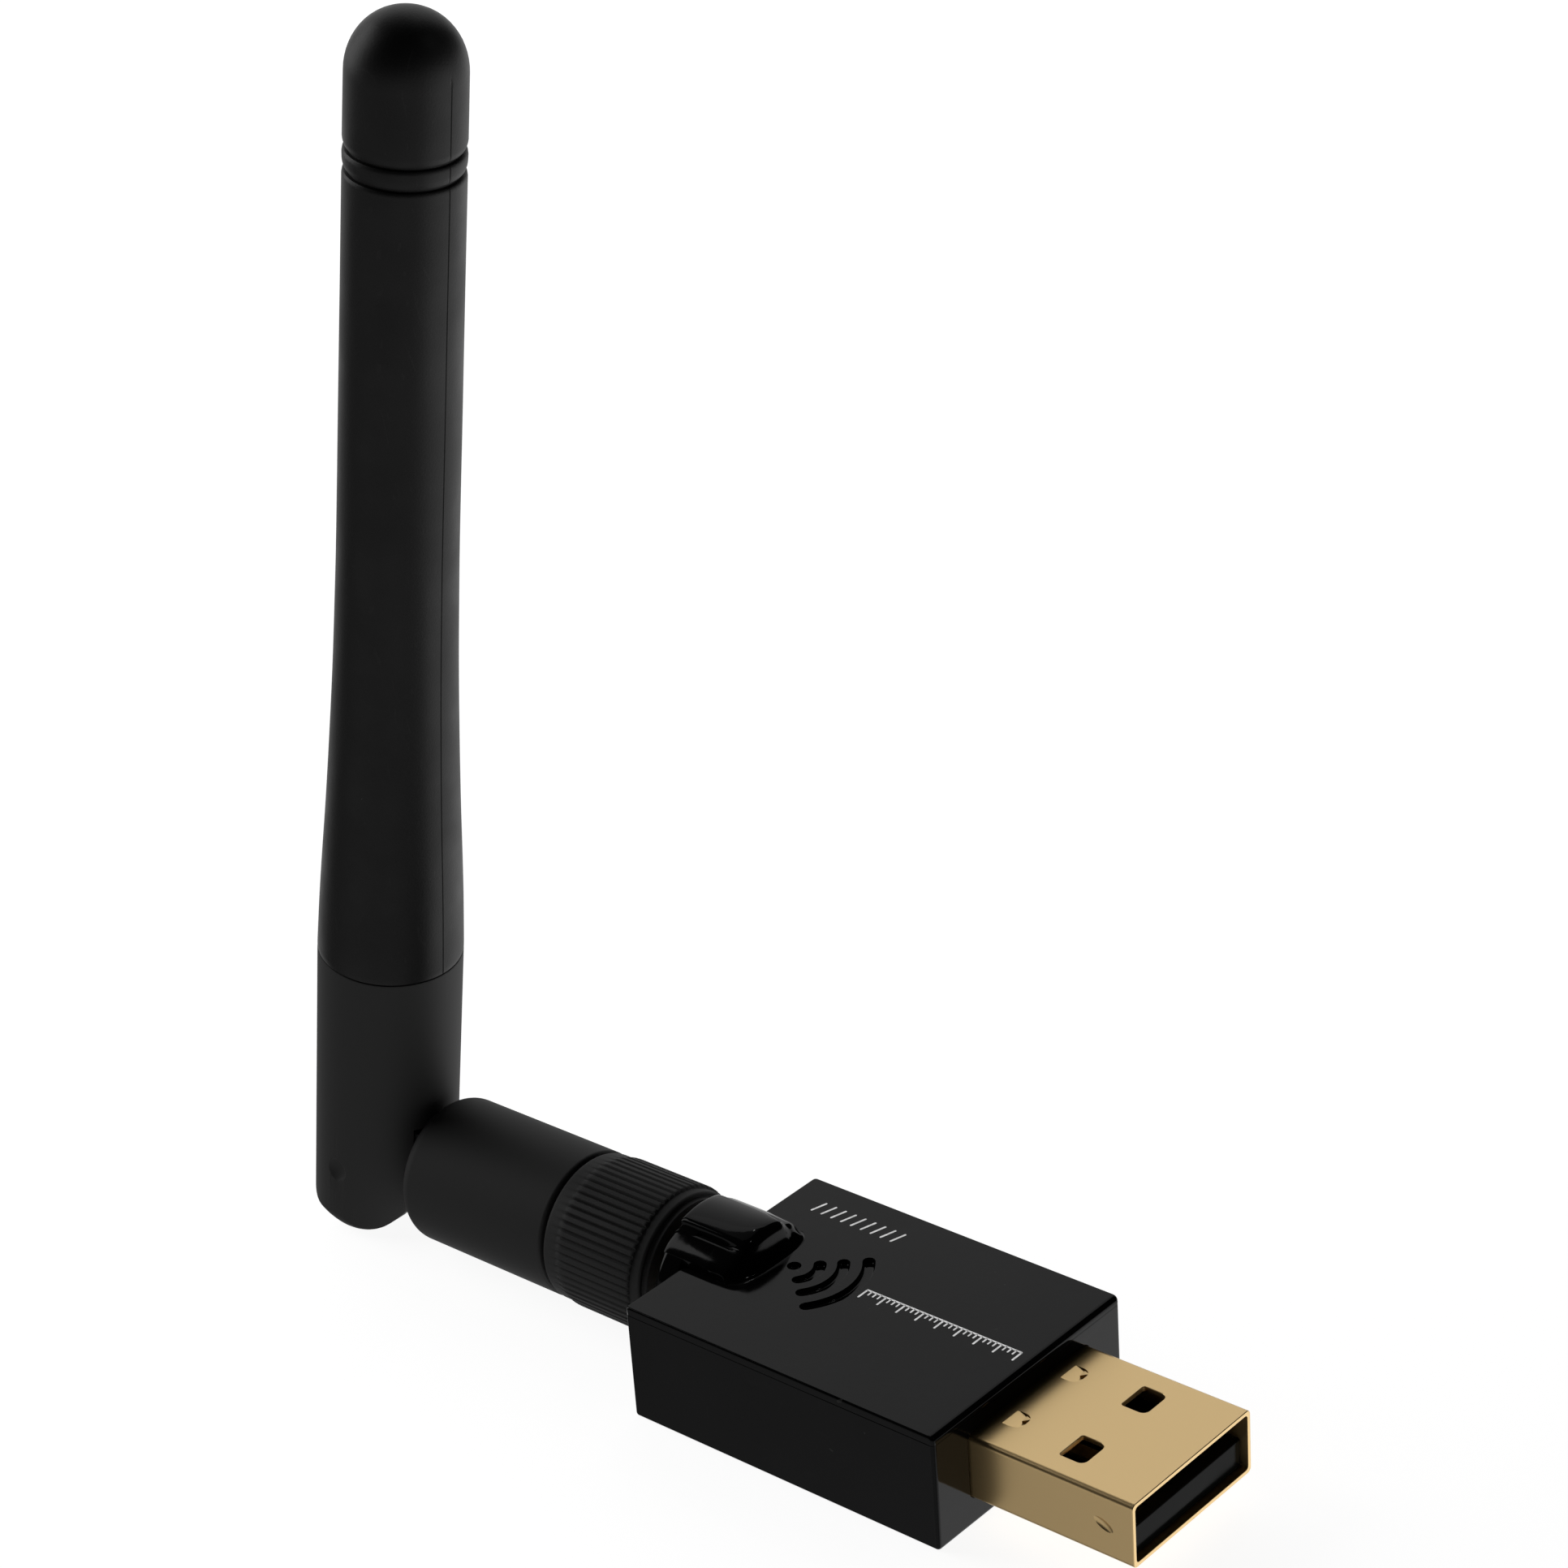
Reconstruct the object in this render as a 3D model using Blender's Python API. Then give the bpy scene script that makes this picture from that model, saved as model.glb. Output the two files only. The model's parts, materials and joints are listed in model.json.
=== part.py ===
"""USB Wi-Fi adapter with a screw-on, swivelling and folding rod antenna.

Frame: origin in the middle of the housing's bottom face, +X towards the tip of the USB plug,
+Y across the housing, +Z up. Dimensions below are millimetres; meshes are built in metres.
At rest the antenna is folded up and leans a little over the housing.
"""
import math

import bmesh
import bpy
from mathutils import Matrix, Vector

MM = 0.001

# ---- Housing -------------------------------------------------------------------------------
HOUSING_LENGTH = 24.6
HOUSING_WIDTH = 18.6
HOUSING_HEIGHT = 8.2
HOUSING_WALL = 1.2
FLOOR = 1.0
COVER_RIM = 0.5            # visible edge of the lid
COVER_PLUG = 0.7           # part of the lid that drops between the walls
COVER_SEAM = 0.1
CORNER_ROUND = 0.6
BOTTOM_ROUND = 0.45
FIT = 0.15                 # gap between pieces that are pressed or glued together
HALF_LENGTH = HOUSING_LENGTH / 2
HALF_WIDTH = HOUSING_WIDTH / 2
WALL_TOP = HOUSING_HEIGHT - COVER_RIM - COVER_SEAM
POST_PLACES = ((-6.5, 5.5), (-6.8, 6.8))
POST_RADIUS = 0.8
MARK_CENTRE = (-6.55, 0.35)
MARK_RADII = (1.65, 3.15, 4.75)
MARK_GROOVE = 0.6
MARK_DEPTH = 0.3
MARK_HALF_ANGLE = 41.0
MARK_DOT = 0.42

# ---- USB plug (standard type A) --------------------------------------------------------------
PLUG_WIDTH = 12.0
PLUG_HEIGHT = 4.5
PLUG_REACH = 12.0          # from the housing's front to the tip
PLUG_WALL = 0.3
PLUG_ROUND = 0.55
PLUG_AXIS_Z = 4.2
PLUG_TIP_X = HALF_LENGTH + PLUG_REACH
PLUG_REAR_X = 9.0
WINDOW_SETBACK = 5.68      # window centre behind the tip
WINDOW_SPACING = 6.2
WINDOW_SIZE = (1.76, 2.34)
TONGUE_THICKNESS = 2.0
TONGUE_SETBACK = 0.5
CONTACT_PITCH = (-3.5, -1.0, 1.0, 3.5)
CONTACT_WIDTH = 1.0
CONTACT_THICKNESS = 0.25

# ---- Board -----------------------------------------------------------------------------------
BOARD_THICKNESS = 0.8
BOARD_TOP_Z = 4.55
BOARD_X = (-9.4, 8.6)
BOARD_HALF_WIDTH = 7.9
SOLDER = 0.05              # stand-off of a part on the board
CAPACITORS = 6

# ---- Antenna connector -----------------------------------------------------------------------
AXIS_Z = 5.2               # height of the connector's axis
THREAD_RADIUS = 3.175      # 1/4-36 thread
THREAD_PITCH = 0.7056
THREAD_DEPTH = 0.38
JACK_TIP_X = -20.6
JACK_BODY_RADIUS = 3.3
TURRET_RADIUS = 5.3
TURRET_HALF_WIDTH = 4.4
TURRET_REAR_X = -14.0
TURRET_FRONT_X = -7.8
TURRET_LOW_Z = 6.6
TURRET_GROOVE = 0.25       # depth of the groove between crown and shoulder, and the shoulder's drop
CROWN_ANGLE = 23.0
GROOVE_ANGLE = 26.5
JACK_SHOULDER_X = -9.6     # rear end of the jack's body, inside the housing
JACK_STEP_X = -16.6        # where the jack's bore widens for the insulator's collar
NUT_RADIUS = 5.18
NUT_X = (-23.74, -14.9)
NUT_RIBS = 60
BASE_RADIUS = 5.05
BASE_X = (-37.2, -24.0)
BASE_END_ROUND = 1.1

# ---- Hinge and antenna (heights along the antenna, from the hinge pin) --------------------------
HINGE_X = -43.24
LEAN = math.radians(9.75)  # the antenna stands this far past square
TONGUE_HALF = 1.7
TONGUE_RADIUS = 2.9
SLOT_HALF = 2.0
PIN_RADIUS = 0.85
PIN_HALF = 4.1
KNUCKLE_RADIUS = 4.87
KNUCKLE_FOOT = 5.2         # round of the lower end about the pin
SHEATH_FOOT = 16.4
SHEATH_TIP = 82.5
SHEATH_OUTLINE = ((16.4, 4.87), (20.5, 4.78), (25.5, 4.53), (30.5, 4.28), (35.5, 4.1), (40.5, 3.97),
                  (47.5, 3.87), (60.0, 3.8))
GROOVES = (72.5, 73.9)
GROOVE_DEPTH = 0.3
GROOVE_WIDTH = 0.4
DOME_FOOT = 79.0
DOME_RADIUS = 3.7

ROUND_STEPS = 48


def clear_scene():
    """Start from an empty scene."""
    for obj in list(bpy.data.objects):
        bpy.data.objects.remove(obj, do_unlink=True)


def material(name, colour, metallic, roughness):
    """A Principled material with one colour."""
    mat = bpy.data.materials.get(name)
    if mat is None:
        mat = bpy.data.materials.new(name)
        mat.use_nodes = True
        shader = mat.node_tree.nodes["Principled BSDF"]
        shader.inputs["Base Color"].default_value = (*colour, 1.0)
        shader.inputs["Metallic"].default_value = metallic
        shader.inputs["Roughness"].default_value = roughness
        mat.diffuse_color = (*colour, 1.0)
    return mat


MATERIALS = {
    "gloss_black": ((0.022, 0.022, 0.024), 0.0, 0.22),
    "matte_black": ((0.016, 0.016, 0.017), 0.0, 0.55),
    "rubber_black": ((0.018, 0.018, 0.019), 0.0, 0.65),
    "gold_plate": ((0.78, 0.56, 0.27), 1.0, 0.25),
    "contact_gold": ((0.83, 0.62, 0.28), 1.0, 0.2),
    "tongue_black": ((0.02, 0.02, 0.02), 0.0, 0.4),
    "board_green": ((0.02, 0.12, 0.06), 0.0, 0.4),
    "chip_black": ((0.03, 0.03, 0.03), 0.0, 0.5),
    "can_silver": ((0.7, 0.7, 0.7), 1.0, 0.3),
    "ceramic_tan": ((0.45, 0.33, 0.2), 0.0, 0.5),
    "white_insulator": ((0.85, 0.85, 0.83), 0.0, 0.5),
    "brass": ((0.72, 0.52, 0.25), 1.0, 0.3),
    "spring_steel": ((0.6, 0.6, 0.62), 1.0, 0.3),
    "cable_brown": ((0.25, 0.12, 0.05), 0.0, 0.4),
}


def finish(name):
    """The named finish from MATERIALS."""
    return material(name, *MATERIALS[name])


def empty(name, location, rotation=(0.0, 0.0, 0.0)):
    """An empty that marks a joint; pieces hang from it in its own frame."""
    marker = bpy.data.objects.new(name, None)
    bpy.context.collection.objects.link(marker)
    marker.empty_display_size = 4 * MM
    marker.location = Vector(location) * MM
    marker.rotation_euler = rotation
    return marker


def place(name, bm, finish_name, parent=None):
    """Turn a bmesh drawn in millimetres into a named object in metres."""
    bmesh.ops.scale(bm, vec=(MM, MM, MM), verts=bm.verts)
    bmesh.ops.recalc_face_normals(bm, faces=bm.faces)
    mesh = bpy.data.meshes.new(name)
    bm.to_mesh(mesh)
    bm.free()
    obj = bpy.data.objects.new(name, mesh)
    bpy.context.collection.objects.link(obj)
    if finish_name:
        mesh.materials.append(finish(finish_name))
    if parent is not None:
        obj.parent = parent
    return obj


def smooth(obj, angle=35.0):
    """Smooth shading that keeps edges sharper than the angle."""
    obj.data.shade_smooth()
    obj.data.set_sharp_from_angle(angle=math.radians(angle))
    return obj


def combine(obj, tool, operation):
    """Boolean of a tool object, which stays in the scene as hidden wire."""
    tool.hide_render = True
    tool.display_type = "WIRE"
    modifier = obj.modifiers.new(operation.lower(), "BOOLEAN")
    modifier.operation = operation
    modifier.solver = "EXACT"
    modifier.object = tool
    return obj


def box(bm, low, high):
    """A box between two corners."""
    centre = (Vector(low) + Vector(high)) / 2
    size = Vector(high) - Vector(low)
    matrix = Matrix.Translation(centre) @ Matrix.Diagonal((*size, 1.0))
    return bmesh.ops.create_cube(bm, size=1.0, matrix=matrix)["verts"]


def box_object(name, low, high, finish_name=None, parent=None):
    """A plain box as an object."""
    bm = bmesh.new()
    box(bm, low, high)
    return place(name, bm, finish_name, parent)


def prism(bm, outline, start, end):
    """Extrude a closed outline of 3D points from one offset to another."""
    verts = [bm.verts.new(Vector(point) + Vector(start)) for point in outline]
    face = bm.faces.new(verts)
    result = bmesh.ops.extrude_face_region(bm, geom=[face])
    moved = [item for item in result["geom"] if isinstance(item, bmesh.types.BMVert)]
    bmesh.ops.translate(bm, verts=moved, vec=Vector(end) - Vector(start))
    return moved


def prism_x(bm, outline, x_range):
    """Extrude an outline of (y, z) points along X."""
    return prism(bm, [(0.0, y, z) for y, z in outline], (x_range[0], 0, 0), (x_range[1], 0, 0))


def prism_y(bm, outline, y_range):
    """Extrude an outline of (x, z) points along Y."""
    return prism(bm, [(x, 0.0, z) for x, z in outline], (0, y_range[0], 0), (0, y_range[1], 0))


def prism_z(bm, outline, z_range):
    """Extrude an outline of (x, y) points along Z."""
    return prism(bm, [(x, y, 0.0) for x, y in outline], (0, 0, z_range[0]), (0, 0, z_range[1]))


def arc(centre, radius, start, end, steps):
    """Points on an arc, angles in degrees, both ends included."""
    points = []
    for index in range(steps + 1):
        angle = math.radians(start + (end - start) * index / steps)
        points.append((centre[0] + radius * math.cos(angle), centre[1] + radius * math.sin(angle)))
    return points


def rounded_rectangle(centre, size, radius, steps=4):
    """Outline of a rectangle with round corners."""
    half_a = size[0] / 2 - radius
    half_b = size[1] / 2 - radius
    corners = ((1, 1, 0), (-1, 1, 90), (-1, -1, 180), (1, -1, 270))
    points = []
    for side_a, side_b, start in corners:
        corner = (centre[0] + side_a * half_a, centre[1] + side_b * half_b)
        points += arc(corner, radius, start, start + 90, steps)
    return points


def lathe(bm, profile, along, steps=ROUND_STEPS):
    """Spin a closed profile of (distance along the axis, radius) points about the X or Z axis."""
    axis = Vector((1, 0, 0)) if along == "X" else Vector((0, 0, 1))
    out = Vector((0, 0, 1)) if along == "X" else Vector((1, 0, 0))
    verts = [bm.verts.new(axis * distance + out * radius) for distance, radius in profile]
    pairs = zip(verts, verts[1:] + verts[:1])
    edges = [bm.edges.new(pair) for pair in pairs
             if pair[0].co.cross(axis).length > 1e-6 or pair[1].co.cross(axis).length > 1e-6]
    bmesh.ops.spin(bm, geom=verts + edges, cent=(0, 0, 0), axis=axis, angle=2 * math.pi,
                   steps=steps, use_merge=True)
    bmesh.ops.remove_doubles(bm, verts=bm.verts, dist=1e-4)
    return bm


def turned(name, profile, finish_name, parent=None, along="X", steps=ROUND_STEPS):
    """A turned piece about its parent's axis."""
    bm = bmesh.new()
    lathe(bm, profile, along, steps)
    return smooth(place(name, bm, finish_name, parent))


def tube_profile(start, end, inner, outer):
    """Profile of a plain tube, or of a rod when the inner radius is zero."""
    return [(start, inner), (start, outer), (end, outer), (end, inner)]


# ---- Housing pieces ----------------------------------------------------------------------------
def bevel_edges(bm, chosen, width, segments):
    """Round the chosen edges."""
    bmesh.ops.bevel(bm, geom=chosen, offset=width, segments=segments, profile=0.5,
                    affect="EDGES", clamp_overlap=True)


def upright(edge):
    """True for a vertical edge."""
    return abs(edge.verts[0].co.z - edge.verts[1].co.z) > 0.5


def housing_base():
    """Tub that holds the board: floor, four walls and the two end openings."""
    bm = bmesh.new()
    box(bm, (-HALF_LENGTH, -HALF_WIDTH, 0), (HALF_LENGTH, HALF_WIDTH, WALL_TOP))
    bevel_edges(bm, [edge for edge in bm.edges if upright(edge)], CORNER_ROUND, 3)
    low_edges = [edge for edge in bm.edges if all(vert.co.z < 0.01 for vert in edge.verts)]
    bevel_edges(bm, low_edges, BOTTOM_ROUND, 2)
    tub = place("housing_base", bm, "gloss_black")
    inner = (HALF_LENGTH - HOUSING_WALL, HALF_WIDTH - HOUSING_WALL)
    room = box_object("cut_room", (-inner[0], -inner[1], FLOOR), (inner[0], inner[1], WALL_TOP + 1))
    combine(tub, room, "DIFFERENCE")
    combine(tub, board_posts(), "UNION")
    combine(tub, end_openings(), "DIFFERENCE")
    return smooth(tub)


def board_posts():
    """Four posts that the board rests on, each joined to the floor."""
    bm = bmesh.new()
    post_top = BOARD_TOP_Z - BOARD_THICKNESS - SOLDER
    for side_x in POST_PLACES[0]:
        for side_y in POST_PLACES[1]:
            outline = arc((side_x, side_y), POST_RADIUS, 0, 337.5, 15)
            prism_z(bm, outline, (FLOOR - 0.3, post_top))
    return place("add_posts", bm, None)


def end_openings():
    """Openings for the plug in the front wall and for the jack in the rear wall."""
    bm = bmesh.new()
    size = (PLUG_WIDTH + 2 * FIT, PLUG_HEIGHT + 2 * FIT)
    outline = rounded_rectangle((0, PLUG_AXIS_Z), size, PLUG_ROUND + FIT)
    prism_x(bm, outline, (HALF_LENGTH - HOUSING_WALL - 1, HALF_LENGTH + 1))
    shelf_z = TURRET_LOW_Z - FIT
    reach = TURRET_HALF_WIDTH + FIT
    radius = JACK_BODY_RADIUS + FIT
    outline = [(reach, WALL_TOP + 1), (-reach, WALL_TOP + 1), (-reach, shelf_z), (-radius, shelf_z)]
    outline += arc((0, AXIS_Z), radius, 180, 360, 16)
    outline += [(radius, shelf_z), (reach, shelf_z)]
    prism_x(bm, outline, (-HALF_LENGTH - 1, -HALF_LENGTH + HOUSING_WALL + 1))
    return place("cut_openings", bm, None)


def housing_top():
    """Lid with the notch for the turret and the engraved signal mark."""
    bm = bmesh.new()
    low_z = HOUSING_HEIGHT - COVER_RIM
    box(bm, (-HALF_LENGTH, -HALF_WIDTH, low_z), (HALF_LENGTH, HALF_WIDTH, HOUSING_HEIGHT))
    bevel_edges(bm, [edge for edge in bm.edges if upright_lid(edge)], CORNER_ROUND, 3)
    top_edges = [edge for edge in bm.edges
                 if all(vert.co.z > HOUSING_HEIGHT - 0.01 for vert in edge.verts)]
    bevel_edges(bm, top_edges, 0.2, 2)
    lid = place("housing_top", bm, "gloss_black")
    inner = (HALF_LENGTH - HOUSING_WALL - FIT, HALF_WIDTH - HOUSING_WALL - FIT)
    drop = box_object("add_lid_drop", (-inner[0], -inner[1], low_z - COVER_PLUG),
                      (inner[0], inner[1], low_z + 0.1))
    combine(lid, drop, "UNION")
    reach = TURRET_HALF_WIDTH + FIT
    notch = box_object("cut_notch", (-HALF_LENGTH - 1, -reach, HOUSING_HEIGHT - 3),
                       (TURRET_FRONT_X + FIT, reach, HOUSING_HEIGHT + 1))
    combine(lid, notch, "DIFFERENCE")
    combine(lid, signal_mark(), "DIFFERENCE")
    return smooth(lid)


def upright_lid(edge):
    """True for one of the lid's four short vertical edges."""
    return abs(edge.verts[0].co.z - edge.verts[1].co.z) > COVER_RIM / 2


def signal_mark():
    """Cutter for a dot and three arcs that spread towards the plug."""
    z_range = (HOUSING_HEIGHT - MARK_DEPTH, HOUSING_HEIGHT + 1)
    bm = bmesh.new()
    prism_z(bm, arc(MARK_CENTRE, MARK_DOT, 0, 345, 23), z_range)
    for radius in MARK_RADII:
        outline = arc(MARK_CENTRE, radius + MARK_GROOVE / 2, -MARK_HALF_ANGLE, MARK_HALF_ANGLE, 14)
        outline += arc(MARK_CENTRE, radius - MARK_GROOVE / 2, MARK_HALF_ANGLE, -MARK_HALF_ANGLE, 14)
        prism_z(bm, outline, z_range)
    return place("cut_signal_mark", bm, None)


def turret_outline(low_z, side):
    """Cross-section of the turret: a raised crown over a lower shoulder on straight sides."""
    crown = TURRET_RADIUS
    shoulder = TURRET_RADIUS - TURRET_GROOVE
    groove = shoulder - TURRET_GROOVE
    side_angle = math.degrees(math.acos(side / shoulder))
    centre = (0, AXIS_Z)
    outline = [(side, low_z)]
    outline += arc(centre, shoulder, side_angle, 90 - GROOVE_ANGLE, 6)
    outline += arc(centre, groove, 90 - GROOVE_ANGLE, 90 - CROWN_ANGLE, 1)
    outline += arc(centre, crown, 90 - CROWN_ANGLE, 90 + CROWN_ANGLE, 10)
    outline += arc(centre, groove, 90 + CROWN_ANGLE, 90 + GROOVE_ANGLE, 1)
    outline += arc(centre, shoulder, 90 + GROOVE_ANGLE, 180 - side_angle, 6)
    outline.append((-side, low_z))
    return outline


def jack_turret():
    """Raised half-round cover over the antenna jack."""
    step_x = -HALF_LENGTH - FIT
    bm = bmesh.new()
    prism_x(bm, turret_outline(TURRET_LOW_Z, TURRET_HALF_WIDTH), (step_x - 0.5, TURRET_FRONT_X))
    turret = place("jack_turret", bm, "gloss_black")
    bm = bmesh.new()
    side = TURRET_RADIUS - 0.26
    prism_x(bm, turret_outline(AXIS_Z, side), (TURRET_REAR_X, step_x))
    combine(turret, place("add_overhang", bm, None), "UNION")
    bm = bmesh.new()
    radius = JACK_BODY_RADIUS + FIT
    outline = [(radius, AXIS_Z - 1)] + arc((0, AXIS_Z), radius, 0, 180, 24) + [(-radius, AXIS_Z - 1)]
    prism_x(bm, outline, (TURRET_REAR_X - 1, TURRET_FRONT_X - 1.0))
    combine(turret, place("cut_turret_bore", bm, None), "DIFFERENCE")
    return smooth(turret)


# ---- USB plug pieces ---------------------------------------------------------------------------
def usb_shell():
    """Gold-plated shell: a folded tube with four windows and two pairs of dents."""
    bm = bmesh.new()
    outline = rounded_rectangle((0, PLUG_AXIS_Z), (PLUG_WIDTH, PLUG_HEIGHT), PLUG_ROUND)
    prism_x(bm, outline, (PLUG_REAR_X, PLUG_TIP_X))
    shell = place("usb_shell", bm, "gold_plate")
    bm = bmesh.new()
    size = (PLUG_WIDTH - 2 * PLUG_WALL, PLUG_HEIGHT - 2 * PLUG_WALL)
    outline = rounded_rectangle((0, PLUG_AXIS_Z), size, PLUG_ROUND - PLUG_WALL)
    prism_x(bm, outline, (PLUG_REAR_X - 1, PLUG_TIP_X + 1))
    combine(shell, place("cut_shell_room", bm, None), "DIFFERENCE")
    combine(shell, shell_windows(), "DIFFERENCE")
    combine(shell, shell_dents(), "DIFFERENCE")
    return smooth(shell)


def shell_windows():
    """Cutter for the two windows in the top wall and the two in the bottom wall."""
    bm = bmesh.new()
    for side in (-1, 1):
        centre = (PLUG_TIP_X - WINDOW_SETBACK, side * WINDOW_SPACING / 2)
        outline = rounded_rectangle(centre, WINDOW_SIZE, 0.3, 3)
        reach = PLUG_HEIGHT / 2 + 1
        inside = PLUG_HEIGHT / 2 - PLUG_WALL - 0.3
        prism_z(bm, outline, (PLUG_AXIS_Z + inside, PLUG_AXIS_Z + reach))
        prism_z(bm, outline, (PLUG_AXIS_Z - reach, PLUG_AXIS_Z - inside))
    return place("cut_windows", bm, None)


def shell_dents():
    """Cutter for the shallow dents: two near the root on top and one on each side near the tip."""
    depth = 0.12
    bm = bmesh.new()
    for side in (-1, 1):
        root = rounded_rectangle((PLUG_TIP_X - 10.65, side * 2.9), (1.2, 1.7), 0.35, 3)
        prism_z(bm, root, (PLUG_AXIS_Z + PLUG_HEIGHT / 2 - depth, PLUG_AXIS_Z + PLUG_HEIGHT))
        slot = rounded_rectangle((PLUG_TIP_X - 2.2, PLUG_AXIS_Z + 0.25), (1.9, 0.85), 0.42, 4)
        inner = side * (PLUG_WIDTH / 2 - depth)
        prism_y(bm, slot, (inner, inner + side))
    return place("cut_dents", bm, None)


def usb_tongue():
    """Insulator: a block that fills the shell's root and a tongue under the contacts."""
    low = PLUG_AXIS_Z - PLUG_HEIGHT / 2 + PLUG_WALL + 0.05
    high = PLUG_AXIS_Z + PLUG_HEIGHT / 2 - PLUG_WALL - 0.05
    half = PLUG_WIDTH / 2 - PLUG_WALL - 0.1
    step = low + TONGUE_THICKNESS
    outline = [(PLUG_REAR_X + 0.2, low), (PLUG_TIP_X - TONGUE_SETBACK, low),
               (PLUG_TIP_X - TONGUE_SETBACK, step), (PLUG_REAR_X + 4.0, step),
               (PLUG_REAR_X + 4.0, high), (PLUG_REAR_X + 0.2, high)]
    bm = bmesh.new()
    prism_y(bm, outline, (-half, half))
    tongue = place("usb_tongue", bm, "tongue_black")
    bm = bmesh.new()
    for offset in CONTACT_PITCH:
        reach = CONTACT_WIDTH / 2 + 0.08
        box(bm, (PLUG_REAR_X - 1, offset - reach, step - 0.12),
            (PLUG_TIP_X - 1.2, offset + reach, step + CONTACT_THICKNESS + 0.3))
    return combine(tongue, place("cut_channels", bm, None), "DIFFERENCE")


def usb_contacts():
    """Four contacts: flat on the tongue, with tails that step up on to the board."""
    names = ("usb_contact_power", "usb_contact_data_minus", "usb_contact_data_plus",
             "usb_contact_ground")
    low = PLUG_AXIS_Z - PLUG_HEIGHT / 2 + PLUG_WALL + 0.05 + TONGUE_THICKNESS - 0.06
    tail = BOARD_TOP_Z + SOLDER
    bend = (PLUG_REAR_X - 0.3, PLUG_REAR_X + 0.1)
    for name, offset in zip(names, CONTACT_PITCH):
        front = PLUG_TIP_X - (1.5 if abs(offset) > 2 else 2.5)
        half = CONTACT_WIDTH / 2
        outline = [(6.4, tail), (bend[0], tail), (bend[1], low), (front, low),
                   (front, low + CONTACT_THICKNESS), (bend[1] + 0.1, low + CONTACT_THICKNESS),
                   (bend[0] + 0.1, tail + CONTACT_THICKNESS), (6.4, tail + CONTACT_THICKNESS)]
        bm = bmesh.new()
        prism_y(bm, outline, (offset - half, offset + half))
        place(name, bm, "contact_gold")


# ---- Board and its parts -----------------------------------------------------------------------
def main_board():
    """Printed circuit board with rounded corners."""
    bm = bmesh.new()
    centre = ((BOARD_X[0] + BOARD_X[1]) / 2, 0)
    size = (BOARD_X[1] - BOARD_X[0], 2 * BOARD_HALF_WIDTH)
    outline = rounded_rectangle(centre, size, 0.5, 2)
    prism_z(bm, outline, (BOARD_TOP_Z - BOARD_THICKNESS, BOARD_TOP_Z))
    return place("main_board", bm, "board_green")


def board_part(name, centre, size, finish_name, round_edges=0.1):
    """One block-shaped part soldered on the board's top."""
    low_z = BOARD_TOP_Z + SOLDER
    bm = bmesh.new()
    box(bm, (centre[0] - size[0] / 2, centre[1] - size[1] / 2, low_z),
        (centre[0] + size[0] / 2, centre[1] + size[1] / 2, low_z + size[2]))
    top = [edge for edge in bm.edges if all(v.co.z > low_z + size[2] / 2 for v in edge.verts)]
    bevel_edges(bm, top, round_edges, 1)
    return place(name, bm, finish_name)


def board_parts():
    """Radio chip, crystal, power inductor, radio front end, band splitter and capacitors."""
    board_part("wifi_chip", (-0.6, -0.6), (6.0, 6.0, 0.9), "chip_black")
    board_part("crystal", (-1.4, -5.8), (3.2, 2.5, 0.7), "can_silver")
    board_part("power_inductor", (4.8, 5.4), (2.5, 2.0, 1.2), "chip_black", 0.2)
    board_part("front_end_module", (-6.1, 4.6), (3.0, 3.0, 0.8), "chip_black")
    board_part("band_splitter", (-6.1, -4.4), (2.0, 1.25, 0.9), "ceramic_tan")
    for index in range(CAPACITORS):
        centre = (-2.35 + index * 0.95, 4.9)
        board_part(f"capacitor_{index + 1}", centre, (0.5, 1.0, 0.5), "ceramic_tan", 0.05)


# ---- Antenna jack ------------------------------------------------------------------------------
def thread_profile(start, end):
    """Crests and roots of the jack's thread, drawn as rings at the thread's pitch."""
    turns = int((end - start) / THREAD_PITCH)
    points = []
    for turn in range(turns):
        x = start + turn * THREAD_PITCH
        points += [(x, THREAD_RADIUS - THREAD_DEPTH), (x + THREAD_PITCH * 0.4, THREAD_RADIUS),
                   (x + THREAD_PITCH * 0.6, THREAD_RADIUS)]
    return points


def jack_shell(axis):
    """Threaded barrel with four legs that straddle the board's edge."""
    profile = [(JACK_SHOULDER_X, 2.05), (JACK_STEP_X, 2.05), (JACK_STEP_X, 2.4), (JACK_TIP_X, 2.4),
               (JACK_TIP_X, 2.7)]
    profile += thread_profile(JACK_TIP_X + 0.2, -14.4)
    profile += [(-14.2, THREAD_RADIUS - THREAD_DEPTH), (-14.1, THREAD_RADIUS), (-12.1, THREAD_RADIUS),
                (-12.0, JACK_BODY_RADIUS), (JACK_SHOULDER_X, JACK_BODY_RADIUS)]
    shell = turned("jack_shell", profile, "gold_plate", axis)
    bm = bmesh.new()
    board_low = BOARD_TOP_Z - BOARD_THICKNESS
    for side in (-1, 1):
        near, far = sorted((side * 2.15, side * 3.0))
        for low, high in ((BOARD_TOP_Z + 0.1, BOARD_TOP_Z + 1.2), (board_low - 1.2, board_low - 0.1)):
            box(bm, (JACK_SHOULDER_X - 0.3, near, low - AXIS_Z), (-7.2, far, high - AXIS_Z))
    legs = place("add_legs", bm, None, axis)
    return combine(shell, legs, "UNION")


def antenna_jack(axis):
    """Jack shell, insulator and centre pin."""
    jack_shell(axis)
    turned("jack_insulator", tube_profile(-16.9, -9.8, 0.52, 1.98), "white_insulator", axis, steps=32)
    pin = [(-8.3, 0.0), (-8.3, 0.45), (-18.6, 0.45), (-18.9, 0.25), (-18.9, 0.0)]
    turned("jack_pin", pin, "contact_gold", axis, steps=20)


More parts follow.
